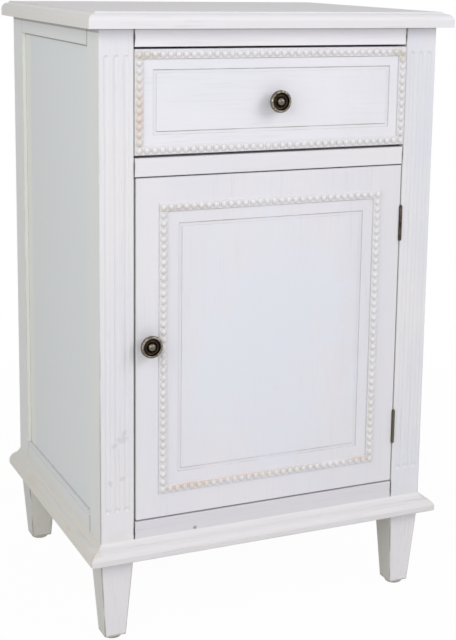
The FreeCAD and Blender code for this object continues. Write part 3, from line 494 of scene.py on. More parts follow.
@material
def whitewash(tree, shader, coords, run, base=None, streaks=0.2, cool=0.0, flank=None, crevices=0.0, lee=0.0,
              wear=0.0, beyond=0.0, below=10.0, outlines=(), lines=(), flank_lines=(), spots=(), shade="glaze"):
    """Antique whitewash over wood: grain, patches, glazing and painted shade in the crevices, painted shade on
    the faces that look aside, worn arrises, lines and spots.

    The numbers are strengths, except that beyond and below say where arrises wear. lee paints shade on the faces
    that look to the right, flank is the painted shade of the faces that look aside, flank_lines mark only those
    faces, and shade names the tint of the painted shade in the crevices.
    """
    paint = settings("nightstand_paint")

    def lined(colour, drawn):
        inputs = {"Direction": drawn.direction, "Position": drawn.position, "Width": drawn.width}
        mask = grouped(tree, tint_line(), coords, inputs)["Mask"]
        return tinted(tree, colour, mask, drawn.strength, getattr(paint, drawn.tint))

    grain = grouped(tree, brushed_grain(), along_grain(tree, coords, run))
    colour = tinted(tree, base or paint.chalk, grain["Patch"], cool, paint.cool)
    # Painted shade: faces that look to the left or the right take the flank colour instead of the front's.
    shaded_flank_colour = flank or paint.flank
    for drawn in flank_lines:
        shaded_flank_colour = lined(shaded_flank_colour, drawn)
    aside = result(tree, "ShaderNodeGroup", node_tree=flank_mask())
    colour = mix(tree, aside, colour, shaded_flank_colour)
    colour = tinted(tree, colour, grain["Streak"], streaks, paint.streak)
    # Glazing and painted shade: where ambient occlusion finds a crevice, the colour takes the crevices' tint,
    # and the deepest crevices take the dark tint.
    if crevices:
        open_air = add(tree, "ShaderNodeAmbientOcclusion", {"Distance": 3 * MM}, only_local=True,
                       samples=8).outputs["AO"]
        uneven = ramped(tree, noise(tree, coords, 26.0, 3.0), 0.36, 0.62)
        uneven = math_node(tree, "MULTIPLY_ADD", uneven, 0.65, 0.45)
        halo = times(tree, ramped(tree, open_air, 0.98, 0.60), uneven)
        colour = tinted(tree, colour, halo, crevices, getattr(paint, shade))
        speck = ramped(tree, noise(tree, coords, 130.0, 2.0), 0.35, 0.65)
        deep = times(tree, ramped(tree, open_air, 0.72, 0.35), speck)
        colour = tinted(tree, colour, deep, crevices * 0.6, paint.soot)
    # Painted shade: the faces that look to the right are darkened.
    if lee:
        right = separated(tree, surface_normal(tree, "Normal"))[0]
        colour = tinted(tree, colour, ramped(tree, right, 0.15, 0.85), lee, getattr(paint, shade))
    if wear:
        worn = grouped(tree, arris_wear(), coords, {"Beyond": beyond, "Below": below})["Mask"]
        colour = tinted(tree, colour, worn, wear, paint.arris)
    for drawn in outlines:
        # Painted shade along the grooves and the beading's edges, drawn round rectangles.
        inputs = {"Centre": drawn.centre, "Half size": drawn.half, "Width": drawn.width, **drawn.shares}
        colour = mix(tree, grouped(tree, frame_line(), coords, inputs)["Mask"], colour, paint.arris)
    for drawn in lines:
        colour = lined(colour, drawn)
    for mark in spots:
        mask = grouped(tree, ragged_spot(), coords, {"Centre": mark.centre, "Reach": mark.reach})["Mask"]
        colour = tinted(tree, colour, mask, mark.strength, getattr(paint, mark.tint))
    wooden(tree, shader, colour, 0.5, grain["Height"], 0.12)


@material
def bare_timber(tree, shader, coords, run, pale, dark, stained=None):
    """Sanded, unfinished wood, with a line of painted shadow across it at one depth where that is given."""
    turned = along_grain(tree, coords, run)
    grain = grouped(tree, brushed_grain(), turned, {"Fineness": 0.6})
    stretched = vector_node(tree, "MULTIPLY", turned, (1, 1, 0.06))
    rings = add(tree, "ShaderNodeTexWave", {"Vector": stretched, "Scale": 22.0, "Distortion": 9.0,
                                            "Detail": 3.0, "Detail Scale": 1.4})
    colour = mix(tree, ramped(tree, rings.outputs["Fac"], 0.35, 0.95), pale, dark)
    colour = tinted(tree, colour, grain["Streak"], 0.45, dark)
    if stained is not None:
        inputs = {"Direction": ALONG["DEEP"], "Position": stained, "Width": 3 * MM}
        mask = grouped(tree, tint_line(), coords, inputs)["Mask"]
        colour = tinted(tree, colour, mask, 0.9, settings("nightstand_timber").gap_shadow)
    wooden(tree, shader, colour, 0.65, grain["Height"], 0.2)


def burnished(tree, shader, coords, colour, roughness, spread, scale=350.0, metallic=1.0):
    """Gives a shader small changes of tone and gloss; the tone is handed back."""
    speckle = noise(tree, coords, scale, 4.0)
    darker, lighter = ([channel * (1 + side * spread) for channel in colour] for side in (-1, 1))
    gloss = math_node(tree, "ADD", times(tree, speckle, 0.2), roughness - 0.1)
    tree.links.new(gloss, shader.inputs["Roughness"])
    shader.inputs["Metallic"].default_value = metallic
    return mix(tree, ramped(tree, speckle, 0.3, 0.7), darker, lighter)


@material
def metal(tree, shader, coords, colour, roughness, spread, metallic=1.0):
    """A metal or plastic with small changes of tone and gloss."""
    tone = burnished(tree, shader, coords, colour, roughness, spread, metallic=metallic)
    tree.links.new(tone, shader.inputs["Base Color"])


@material
def hinge_bronze(tree, shader, coords):
    """The aged bronze of the hinges and their screws, which is greener on the lower hinge."""
    hardware = settings("nightstand_hardware")
    tone = burnished(tree, shader, coords, hardware.hinge_bronze, 0.42, 0.5, scale=110.0)
    low, high = (corner[2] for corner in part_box("door_slab"))
    lower = ramped(tree, separated(tree, coords)[2], low + (high - low) * 0.6, low + (high - low) * 0.4)
    tree.links.new(tinted(tree, tone, lower, 0.8, hardware.hinge_olive), shader.inputs["Base Color"])


@material
def turned_bronze(tree, shader, coords, centre, radius):
    """Patina that is dark in a knob's hollow, browner on its dome and rim, and rubbed on its crests."""
    hardware = settings("nightstand_hardware")
    centred = result(tree, "ShaderNodeMapping", {"Vector": coords, "Location": centre}, vector_type="TEXTURE")
    flat = vector_node(tree, "MULTIPLY", centred, (1 / radius, 0, 1 / radius))
    out = vector_node(tree, "LENGTH", flat, output="Value")
    speckle = noise(tree, coords, 420.0, 4.0)
    hollow = band(tree, out, 0.36, 0.42, 0.72, 0.80)
    colour = mix(tree, hollow, hardware.bronze, hardware.bronze_dark)
    crest = times(tree, band(tree, out, 0.80, 0.88, 0.93, 0.99), ramped(tree, speckle, 0.45, 0.70))
    colour = tinted(tree, colour, crest, 0.6, hardware.bronze_rub)
    colour = tinted(tree, colour, ramped(tree, speckle, 0.55, 0.35), 0.5, hardware.bronze_dark)
    tree.links.new(colour, shader.inputs["Base Color"])
    shader.inputs["Metallic"].default_value = 1.0
    shader.inputs["Roughness"].default_value = 0.3


def linked(name, data):
    """A new object with some data, linked to the scene."""
    made = bpy.data.objects.new(name, data)
    bpy.context.scene.collection.objects.link(made)
    return made


def finish_piece(mesh, name, node):
    """Makes a mesh the piece that stands for a CAD node, on that node's body, and hides the node."""
    piece = linked(name, mesh)
    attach(piece, body_of_node(node))
    slot_of_node(node)
    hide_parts(node)


def coat(node, finish):
    """Gives a CAD node's own object a material."""
    mesh = frame["nodes"][node].data
    mesh.materials.clear()
    mesh.materials.append(finish)


def grown_mesh(tree, mesh, name, values):
    """The plain mesh that a geometry tree makes from a mesh with these inputs."""
    holder = linked(name + "_source", mesh)
    modifier = holder.modifiers.new("Nodes", "NODES")
    modifier.node_group = tree
    sockets = {item.name: item.identifier for item in tree.interface.items_tree if item.in_out == "INPUT"}
    for label, value in values.items():
        modifier[sockets[label]] = value
    graph = bpy.context.evaluated_depsgraph_get()
    final = bpy.data.meshes.new_from_object(holder.evaluated_get(graph), preserve_all_data_layers=True,
                                            depsgraph=graph)
    bpy.data.objects.remove(holder)
    final.name = name
    return final


def realised(tree, geometry, finish):
    """Ends a geometry tree: its instances made real and given a material."""
    real = result(tree, "GeometryNodeRealizeInstances", {"Geometry": geometry})
    return {"Geometry": result(tree, "GeometryNodeSetMaterial", {"Geometry": real, "Material": finish})}


GEOMETRY = ("Geometry", None)


@node_group("GeometryNodeTree", "Pearl Rows", {
    "Geometry": GEOMETRY, "Centre": PLACE, "Row half length": ("Float", 0.1), "Row height": ("Float", 0.1),
    "Column half length": ("Float", 0.1), "Column offset": ("Float", 0.1), "Pearls in a row": ("Int", 10),
    "Pearls in a column": ("Int", 10), "Pearl radius": ("Float", 0.004), "Finish": ("Material", None)},
    {"Geometry": GEOMETRY})
def pearl_rows(tree, given):
    """Two rows and two columns of pearls round a frame's middle."""
    join = add(tree, "GeometryNodeJoinGeometry")
    for side in (-1, 1):
        for across, reach, off, count in ((True, "Row half length", "Row height", "Pearls in a row"),
                                          (False, "Column half length", "Column offset", "Pearls in a column")):
            ends = []
            for end_side in (-1, 1):
                run, aside = times(tree, given[reach], end_side), times(tree, given[off], side)
                point = {0: run, 2: aside} if across else {0: aside, 2: run}
                ends.append(result(tree, "ShaderNodeCombineXYZ", point))
            row = result(tree, "GeometryNodeMeshLine", {"Count": given[count], "Start Location": ends[0],
                                                        "Offset": ends[1]}, mode="END_POINTS")
            tree.links.new(row, join.inputs["Geometry"])
    moved = result(tree, "GeometryNodeTransform", {"Geometry": join.outputs["Geometry"],
                                                   "Translation": given["Centre"]})
    pearl = result(tree, "GeometryNodeMeshUVSphere", {"Segments": 10, "Rings": 6,
                                                      "Radius": given["Pearl radius"]})
    facing = result(tree, "GeometryNodeTransform", {"Geometry": pearl, "Rotation": (math.pi / 2, 0, 0)})
    smooth = result(tree, "GeometryNodeSetShadeSmooth", {"Geometry": facing})
    placed = result(tree, "GeometryNodeInstanceOnPoints", {"Points": moved, "Instance": smooth})
    return realised(tree, placed, given["Finish"])


def eased_box(shape, low, high, ease):
    """Adds a box with eased edges to a bmesh."""
    made = bmesh.ops.create_cube(shape, size=1.0)["verts"]
    bmesh.ops.scale(shape, vec=[end - start for start, end in zip(low, high)], verts=made)
    bmesh.ops.translate(shape, vec=middle_of(low, high), verts=made)
    edges = {edge for vert in made for edge in vert.link_edges}
    bmesh.ops.bevel(shape, geom=list(edges), offset=ease, segments=1, affect="EDGES")


def bead_frame(node, finish):
    """A frame of beading in the place of a CAD node: four eased strips and their pearls."""
    hardware = settings("nightstand_hardware")
    name = "strung_" + node
    low, high = (Vector(corner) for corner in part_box(node))
    wide, ease = hardware.strip_width, 0.35 * MM
    face, front = high.y, high.y - hardware.strip_thickness
    width, height = high.x - low.x, high.z - low.z
    column = height - 2 * wide
    in_row, in_column = (max(1, round(length / hardware.pearl_pitch)) for length in (width, column))
    pearls = grown_mesh(pearl_rows(), bpy.data.meshes.new(name + "_points"), name + "_pearls", {
        "Centre": ((low.x + high.x) / 2, face, (low.z + high.z) / 2),
        "Row half length": width / 2 * (1 - 1 / in_row), "Row height": (height - wide) / 2,
        "Column half length": column / 2 * (1 - 1 / in_column), "Column offset": (width - wide) / 2,
        "Pearls in a row": in_row, "Pearls in a column": in_column, "Pearl radius": hardware.pearl_radius,
        "Finish": finish})
    strips = bmesh.new()
    for bottom in (low.z, high.z - wide):
        eased_box(strips, (low.x, front, bottom), (high.x, face, bottom + wide), ease)
    for left in (low.x, high.x - wide):
        eased_box(strips, (left, front, low.z + wide), (left + wide, face, high.z - wide), ease)
    strips.from_mesh(pearls)
    mesh = bpy.data.meshes.new(name)
    strips.to_mesh(mesh)
    strips.free()
    bpy.data.meshes.remove(pearls)
    mesh.materials.append(finish)
    finish_piece(mesh, name, node)


def screw_islands(node):
    """The points of each screw in a CAD node, whose mesh is loose triangles."""
    shape = bmesh.new()
    shape.from_mesh(frame["nodes"][node].data)
    bmesh.ops.remove_doubles(shape, verts=shape.verts, dist=SAME_POINT)
    left = set(shape.verts)
    while left:
        island, todo = [], [left.pop()]
        while todo:
            vert = todo.pop()
            island.append(vert.co.copy())
            near = {edge.other_vert(vert) for edge in vert.link_edges} & left
            left -= near
            todo.extend(near)
        yield island
    shape.free()


def screw_seats(node):
    """The middle of each screw's head in a CAD node, the way it is driven, its length and its head's radius."""
    seats = []
    for points in screw_islands(node):
        low, high = (Vector([pick(point[axis] for point in points) for axis in range(3)]) for pick in (min, max))
        size, middle = high - low, (low + high) / 2
        axis = max(range(3), key=lambda number: size[number])
        ends = []
        for way, level in ((-1, low[axis]), (1, high[axis])):
            ring = [point - middle for point in points if abs(point[axis] - level) < SAME_LEVEL]
            ends.append((max(point.length_squared - point[axis] ** 2 for point in ring), way, level))
        reach, way, level = max(ends)
        head, drive = middle.copy(), Vector()
        head[axis], drive[axis] = level, -way
        seats.append((head, drive, size[axis], math.sqrt(reach)))
    return sorted(seats, key=lambda seat: tuple(round(value, 6) for value in seat[0]))


def screw_head(name, rings, arm, half, depth):
    """A screw's head driven along Z from the origin, with a cross recess: its arms' reach and half width."""
    shape = bmesh.new()
    count, floor_share = 12, 0.7
    turns = [2 * math.pi * step / count for step in range(count)]
    loops = [[shape.verts.new((radius * math.cos(turn), radius * math.sin(turn), rise)) for turn in turns]
             for radius, rise in rings]
    corners = [(arm, half), (half, half), (half, arm), (-half, arm), (-half, half), (-arm, half)]
    corners += [(-x, -y) for x, y in corners]
    top = rings[0][1]
    rim = [shape.verts.new((x, y, top)) for x, y in corners]
    floor = [shape.verts.new((x * floor_share, y * floor_share, top + depth)) for x, y in corners]
    for first, second in (*zip(loops, loops[1:]), (rim, floor)):
        for step in range(len(first)):
            shape.faces.new((first[step - 1], first[step], second[step], second[step - 1]))
    for cap in (loops[-1], floor):
        shape.faces.new(cap)
    bounds = [shape.edges.get((ring[step - 1], ring[step])) for ring in (rim, loops[0])
              for step in range(len(ring))]
    bmesh.ops.triangle_fill(shape, edges=bounds, use_beauty=True)
    bmesh.ops.recalc_face_normals(shape, faces=shape.faces)
    mesh = bpy.data.meshes.new(name)
    shape.to_mesh(mesh)
    shape.free()
    return linked(name, mesh)


@node_group("GeometryNodeTree", "Screw Set", {
    "Geometry": GEOMETRY, "Head": ("Object", None), "Shank radius": ("Float", 0.0014),
    "Finish": ("Material", None)}, {"Geometry": GEOMETRY})
def screw_set(tree, given):
    """A head on every point and a shank from a tenth of the length on, turned the way they are driven."""
    skipped = 0.1
    drive = result(tree, "GeometryNodeInputNamedAttribute", {"Name": "drive"}, data_type="FLOAT_VECTOR")
    length = result(tree, "GeometryNodeInputNamedAttribute", {"Name": "length"}, data_type="FLOAT")
    turn = result(tree, "FunctionNodeAlignRotationToVector", {"Vector": drive}, axis="Z")
    head = add(tree, "GeometryNodeObjectInfo", {"Object": given["Head"]}).outputs["Geometry"]
    rod = result(tree, "GeometryNodeMeshCylinder", {"Vertices": 10, "Radius": given["Shank radius"],
                                                    "Depth": 1 - skipped})
    shank = result(tree, "GeometryNodeTransform", {"Geometry": rod, "Translation": (0, 0, (1 + skipped) / 2)})
    stretch = result(tree, "ShaderNodeCombineXYZ", {0: 1.0, 1: 1.0, 2: length})
    join = add(tree, "GeometryNodeJoinGeometry")
    for shape, scale in ((head, {}), (shank, {"Scale": stretch})):
        placed = result(tree, "GeometryNodeInstanceOnPoints", {"Points": given["Geometry"], "Instance": shape,
                                                               "Rotation": turn, **scale})
        tree.links.new(placed, join.inputs["Geometry"])
    return realised(tree, join.outputs["Geometry"], given["Finish"])


def fit_screws(node, head, shank, finish):
    """Screws with heads of one kind in the places of a CAD node's screws."""
    seats = screw_seats(node)
    points = bpy.data.meshes.new(node + "_points")
    points.from_pydata([seat[0] for seat in seats], [], [])
    drives, lengths = [part for seat in seats for part in seat[1]], [seat[2] for seat in seats]
    for label, kind, key, values in (("drive", "FLOAT_VECTOR", "vector", drives),
                                     ("length", "FLOAT", "value", lengths)):
        points.attributes.new(label, kind, "POINT").data.foreach_set(key, values)
    name = "driven_" + node
    mesh = grown_mesh(screw_set(), points, name, {"Head": head, "Shank radius": shank, "Finish": finish})
    mesh.shade_smooth()
    mesh.set_sharp_from_angle(angle=math.radians(40))
    finish_piece(mesh, name, node)


def seam_spots():
    """Broken painted shade in the seams where the front rails meet the posts."""
    spots = []
    for rail, strength in (("apron_rail", 0.95), ("mid_rail", 0.6), ("sill_rail", 1.0)):
        low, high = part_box(rail)
        bottom = max(low[2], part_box("front_base_moulding")[1][2])
        tall = (high[2] - bottom) / 2 / MM
        for end, inward in ((low[0], 0.5), (high[0], -0.5)):
            spots.append(spot((end, low[1], (bottom + high[2]) / 2), (inward, 1, 0), (1.7, 5, tall * 1.5),
                              strength, "soot"))
    return spots


def under_top(node):
    """A thin line of painted shadow high on a front piece, where the top panel meets it."""
    return line("UP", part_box(node)[1][2], -1.0, 1.3, 0.45, "soot")


def under_top_aside():
    """A wider line of painted shadow along the sides, under the overhang of the top panel."""
    return line("UP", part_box("front_left_post")[1][2], -3.3, 2.2, 0.65, "soot")


class NIGHTSTAND_OT_paint_posts(bpy.types.Operator):
    """Paint the fluted front posts and the back posts"""

    bl_idname = "nightstand.paint_posts"
    bl_label = "Paint the posts"

    def execute(self, context):
        flute_pitch = 10.8
        options = {"beyond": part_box("front_right_post")[1][0] - 2 * MM, "flank_lines": [under_top_aside()]}
        # crevices paints shade into the flutes; the dark marks at the flute ends are glazing and painted shade.
        for side, streaks, cool, crevices, ends in (("left", 0.18, 0.4, 0.12, 0.28),
                                                    ("right", 0.12, 0.8, 0.06, 0.18)):
            node = "front_" + side + "_post"
            low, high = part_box(node)
            outer = (low if side == "left" else high)[0]
            foot = ((low[0] + high[0]) / 2, low[1], low[2])
            spots = [spot(foot, (0, 0, 26), (19, 3, 9), 0.30, "cream"),
                     spot((outer, low[1], low[2]), (0, 1, 90), (1.6, 2.2, 150), 0.65, "arris")]
            spots += [spot(foot, (number * flute_pitch, 0, 57), (4.5, 4, 3.5), ends, "streak")
                      for number in (-1, 0, 1)]
            if side == "left":
                floor = (foot[0], foot[1], 0)
                spots += [spot(floor, (across, 0, level), (wide, 4, tall), 0.30, "streak")
                          for across, level, wide, tall in NICKS]
            coat(node, whitewash("whitewash_" + side + "_post", "UP", streaks=streaks, cool=cool,
                                 crevices=crevices, wear=0.8, below=260 * MM, lines=[under_top(node)],
                                 spots=spots + seam_spots(), **options))
        # The back posts take the reveal colour, which is painted light.
        base = settings("nightstand_paint").reveal
        for side in SIDES:
            coat("back_" + side + "_post", whitewash("whitewash_back_post", "UP", base=base, streaks=0.16,
                                                     wear=0.35, **options))
        return {"FINISHED"}


class NIGHTSTAND_OT_paint_rails(bpy.types.Operator):
    """Paint the rails of the front and the sides, with dark seams where the side rails meet the posts"""

    bl_idname = "nightstand.paint_rails"
    bl_label = "Paint the rails"

    def execute(self, context):
        paint = settings("nightstand_paint")
        seams = seam_spots()
        nail = spot((0, *front_corner("sill_rail", "left", "top")[1:]), (-90, 0, -17), (3, 3, 2.5), 0.8, "soot")
        # The apron takes the brighter apron colour, which is painted light.
        coat("apron_rail", whitewash("whitewash_apron", "ACROSS", base=paint.apron, streaks=0.14, cool=0.2,
                                     lines=[under_top("apron_rail")], spots=seams))
        coat("mid_rail", whitewash("whitewash_mid_rail", "ACROSS", streaks=0.16, cool=0.3, spots=seams))
        coat("sill_rail", whitewash("whitewash_sill", "ACROSS", base=paint.sill, streaks=0.38, cool=0.1,
                                    spots=[nail] + seams))
        joints = [line("DEEP", corner[1], 0, 1.6, 0.9, "soot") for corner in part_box("left_top_rail")]
        for side in SIDES:
            for level in ("top", "bottom"):
                coat(side + "_" + level + "_rail", whitewash("whitewash_side_rail", "DEEP", streaks=0.16,
                                                             lines=joints + [under_top_aside()]))
        return {"FINISHED"}


class NIGHTSTAND_OT_paint_panels(bpy.types.Operator):
    """Paint the side panels, with painted shadow along the rails and a band of painted light beside the back
    posts
    """

    bl_idname = "nightstand.paint_panels"
    bl_label = "Paint the side panels"

    def execute(self, context):
        # Painted light beside the back posts, painted shadow under the top rail and painted shade where the
        # panel meets the bottom rail.
        lines = (line("DEEP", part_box("back_left_post")[0][1], -3, 22, 0.8, "reveal"),
                 line("UP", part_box("left_top_rail")[0][2], -1.2, 1.5, 0.75, "soot"),
                 line("UP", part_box("left_bottom_rail")[1][2], 0.5, 0.8, 0.35, "soot"))
        for side in SIDES:
            coat(side + "_side_panel", whitewash("whitewash_panel", "UP", streaks=0.05, lines=lines,
                                                 flank=settings("nightstand_paint").panel))
        return {"FINISHED"}


class NIGHTSTAND_OT_paint_fronts(bpy.types.Operator):
    """Paint the door and the drawer front, with painted shade along their scribed grooves and beside the beading
    """

    bl_idname = "nightstand.paint_fronts"
    bl_label = "Paint the door and the drawer front"

    def execute(self, context):
        hardware = settings("nightstand_hardware")
        paint = settings("nightstand_paint")
        edge, beside, near = 0.3 * MM, 0.5 * MM, 4 * MM
        groove, strip = hardware.scribe_width, hardware.strip_width
        for node, beading, run, scribe, base in (
                ("drawer_front", "drawer_beading", "ACROSS", hardware.drawer_scribe, paint.drawer),
                ("door_slab", "door_beading", "UP", hardware.door_scribe, paint.door)):
            low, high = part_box(node)
            middle, front = middle_of(low, high), low[1]
            wide, tall = (high[0] - low[0]) / MM, (high[2] - low[2]) / MM
            # Painted shade: the front is darker towards its right edge.
            spots = [spot((high[0], *middle[1:]), (0, 0, 0), (100, 100, 2 * tall), 0.06, "streak")]
            if node == "door_slab":
                spots.append(spot(middle, (0, 0, 0), (wide * 0.42, 100, tall * 0.46), 0.85, "field"))
            outlines = []
            for around, insets, width, shares in (
                    (node, [inset + edge for inset in scribe], 0.65 * MM, OUTER_GROOVE),
                    (node, [inset + groove - edge for inset in scribe], 0.65 * MM, INNER_GROOVE),
                    (beading, (-beside, -beside), 0.7 * MM, OVER_BEADING),
                    (beading, (strip + beside, strip + beside), 0.7 * MM, UNDER_BEADING)):
                low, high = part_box(around)
                half = ((high[0] - low[0]) / 2 - insets[0], near, (high[2] - low[2]) / 2 - insets[1])
                outlines.append(Outline(((low[0] + high[0]) / 2, front, (low[2] + high[2]) / 2), half, width,
                                        shares))
            coat(node, whitewash("whitewash_" + node, run, base=base, streaks=0.15, cool=0.3, wear=0.15,
                                 outlines=outlines, spots=spots))
        return {"FINISHED"}


class NIGHTSTAND_OT_paint_mouldings(bpy.types.Operator):
    """Paint the moulded top and the base moulding"""

    bl_idname = "nightstand.paint_mouldings"
    bl_label = "Paint the mouldings"

    def execute(self, context):
        paint = settings("nightstand_paint")
        # A thin dark line along the top's upper edge.
        top_arris_line = line("UP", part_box("top_panel")[1][2], -0.1, 0.35, 0.20, "soot")
        coat("top_panel", whitewash("whitewash_top", "ACROSS", streaks=0.26, flank=paint.edge, lines=[top_arris_line]))
        low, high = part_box("front_base_moulding")
        left, right = ((x, low[1], (low[2] + high[2]) / 2) for x in (low[0], high[0]))
        spots = (spot(left, (2, 95, 0), (5, 9, 5), 0.22, "rubbed"),
                 spot(left, (5, 250, 0), (7, 30, 6), 0.15, "rubbed"),
                 spot(right, (-3, 4, 0), (14, 14, 12), 0.45, "cream"),
                 spot(left, (6, 6, 4), (9, 9, 6), 0.22, "rubbed"))
        for run, base, streaks, sides in (("ACROSS", paint.base, 0.42, ("front",)),
                                          ("DEEP", paint.edge, 0.25, SIDES)):
            for side in sides:
                coat(side + "_base_moulding", whitewash("whitewash_moulding_" + run.lower(), run, base=base,
                                                        streaks=streaks, flank=paint.cream, spots=spots))
        return {"FINISHED"}


class NIGHTSTAND_OT_paint_legs(bpy.types.Operator):
    """Paint the tapered legs, rubbed through along their arrises"""

    bl_idname = "nightstand.paint_legs"
    bl_label = "Paint the legs"

    def execute(self, context):
        paint = settings("nightstand_paint")
        foot = line("UP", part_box("front_left_leg")[0][2], 0, 2.4, 0.55, "arris")
        # The back legs take the reveal colour, which is painted light.
        for end, base in (("front", paint.chalk), ("back", paint.reveal)):
            for side in SIDES:
                coat(end + "_" + side + "_leg", whitewash("whitewash_" + end + "_leg", "UP", base=base,
                                                          streaks=0.36, flank=paint.leg_side, wear=0.9,
                                                          lines=[foot]))
        return {"FINISHED"}


class NIGHTSTAND_OT_string_beading(bpy.types.Operator):
    """Set the beaded frames on the drawer front and the door"""

    bl_idname = "nightstand.string_beading"
    bl_label = "Set the beading"

    def execute(self, context):
        spots = [spot(front_corner(node, side, level), offset, reach, strength, tint)
                 for node, side, level, offset, reach, strength, tint in BEADING_MARKS]
        # The beading gets painted shade in its crevices and on its right-hand faces.
        finish = whitewash("whitewash_beading", "ACROSS", streaks=0.12, crevices=0.8, lee=0.30, spots=spots,
                           shade="haze")
        for node in ("drawer_beading", "door_beading"):
            bead_frame(node, finish)
        return {"FINISHED"}


class NIGHTSTAND_OT_finish_inside(bpy.types.Operator):
    """Finish the bare wood of the inside"""

    bl_idname = "nightstand.finish_inside"
    bl_label = "Finish the inside"

    def execute(self, context):
        timber = settings("nightstand_timber")
        pine, birch = (timber.pine, timber.pine_rings), (timber.birch, timber.birch_rings)
        for wood, run, nodes in BARE_WOOD:
            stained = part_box(nodes[0])[0][1] if wood == "drawer_pine" else None
            for node in nodes:
                coat(node, bare_timber(wood + "_" + run.lower(), run, *(birch if wood == "birch_ply" else pine),
                                       stained=stained))
        return {"FINISHED"}


class NIGHTSTAND_OT_turn_knobs(bpy.types.Operator):
    """Finish the two turned knobs"""

    bl_idname = "nightstand.turn_knobs"
    bl_label = "Turn the knobs"

    def execute(self, context):
        for node in ("drawer_knob", "door_knob"):
            low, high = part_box(node)
            coat(node, turned_bronze("antique_bronze_" + node, middle_of(low, high), (high[0] - low[0]) / 2))
        return {"FINISHED"}


def zinc_plate():
    """The plating of the screws, the bolts and the strike plate."""
    return metal("zinc_plate", settings("nightstand_hardware").zinc, 0.36, 0.12)


class NIGHTSTAND_OT_hang_hinges(bpy.types.Operator):
    """Finish the hinges, the catch, the strike plate, the glides and the leg bolts"""

    bl_idname = "nightstand.hang_hinges"
    bl_label = "Hang the hinges"

    def execute(self, context):
        hardware = settings("nightstand_hardware")
        finishes = (
            (hinge_bronze("aged_hinge_bronze"), ("post_hinge_leaves", "door_hinge_leaves", "hinge_pins")),
            (zinc_plate(), ("strike_plate", "leg_bolts")),
            (metal("glide_nickel", hardware.nickel, 0.42, 0.15), ("glides",)),
            (metal("brown_plastic", hardware.plastic, 0.5, 0.1, metallic=0.0), ("catch_body",)),
            (metal("ferrite", hardware.ferrite, 0.55, 0.2, metallic=0.3), ("catch_magnet",)))
        for finish, nodes in finishes:
            for node in nodes:
                coat(node, finish)
        return {"FINISHED"}


class NIGHTSTAND_OT_drive_screws(bpy.types.Operator):
    """Drive the wood screws and the knobs' machine screws"""

    bl_idname = "nightstand.drive_screws"
    bl_label = "Drive the screws"

    def execute(self, context):
        hardware = settings("nightstand_hardware")
        shank, zinc, aged = hardware.screw_shank, zinc_plate(), hinge_bronze("aged_hinge_bronze")
        wide = screw_seats("top_screws")[0][3]
        sunk = screw_head("countersunk_head", ((wide, 0), (shank, wide - shank)), arm=1.5 * MM,
                          half=0.35 * MM, depth=0.8 * MM)
        wide, tall = screw_seats("drawer_knob_screw")[0][3], 2.4 * MM
        domed = ((0.72, 0), (0.92, 0.2), (1, 0.5), (1, 1))
        pan = screw_head("pan_head", [(wide * out, tall * down) for out, down in domed], arm=2.0 * MM,
                         half=0.45 * MM, depth=1.2 * MM)
        for node, head, radius, finish in (("top_screws", sunk, shank, zinc),
                                           ("carcase_hardware_screws", sunk, shank, aged),
                                           ("door_hardware_screws", sunk, shank, aged),
                                           ("drawer_knob_screw", pan, hardware.knob_screw_shank, zinc),
                                           ("door_knob_screw", pan, hardware.knob_screw_shank, zinc)):
            fit_screws(node, head, radius, finish)
        for holder in (sunk, pan):
            bpy.data.objects.remove(holder)
        return {"FINISHED"}


def seen_directly(tree):
    """A socket that is 1 for rays of the camera, reflections and glass."""
    path = add(tree, "ShaderNodeLightPath").outputs
    share = math_node(tree, "MAXIMUM", path["Is Camera Ray"], path["Is Glossy Ray"])
    return math_node(tree, "MAXIMUM", share, path["Is Transmission Ray"])


@material
def studio_paint(tree, shader, coords):
    """A pale floor that keeps the shadow near the cabinet and fades into the white round it."""
    shader.inputs["Base Color"].default_value = (0.75, 0.75, 0.75, 1)
    shader.inputs["Roughness"].default_value = 0.9
    glow = result(tree, "ShaderNodeEmission", {"Color": WHITE, "Strength": 1.0})
    away = vector_node(tree, "LENGTH", coords, output="Value")
    near, far, near_share = 0.3, 1.3, 0.975
    fade = result(tree, "ShaderNodeMapRange", {"Value": away, "From Min": near, "From Max": far,
                                               "To Min": near_share, "To Max": 1.0},
                  interpolation_type="SMOOTHSTEP")
    share = times(tree, seen_directly(tree), fade)
    blend = result(tree, "ShaderNodeMixShader", {0: share, 1: shader.outputs[0], 2: glow})
    tree.links.new(blend, tree.nodes["Material Output"].inputs["Surface"])


def studio_floor():
    """Lays the floor."""
    half = 6.0
    corners = ((-half, -half, 0), (half, -half, 0), (half, half, 0), (-half, half, 0))
    mesh = bpy.data.meshes.new("floor")
    mesh.from_pydata(corners, [], [range(len(corners))])
    mesh.materials.append(studio_paint("studio_floor"))
    linked("floor", mesh)


def studio_world(strength):
    """Even light from all round, which the camera sees as white."""
    world = bpy.data.worlds.new("studio")
    bpy.context.scene.world = world
    world.use_nodes = True
    tree = world.node_tree
    light = tree.nodes["Background"]
    light.inputs["Color"].default_value = WHITE
    light.inputs["Strength"].default_value = strength
    seen = result(tree, "ShaderNodeBackground", {"Color": WHITE, "Strength": 1.0})
    blend = result(tree, "ShaderNodeMixShader", {0: seen_directly(tree), 1: light.outputs[0], 2: seen})
    tree.links.new(blend, tree.nodes["World Output"].inputs["Surface"])


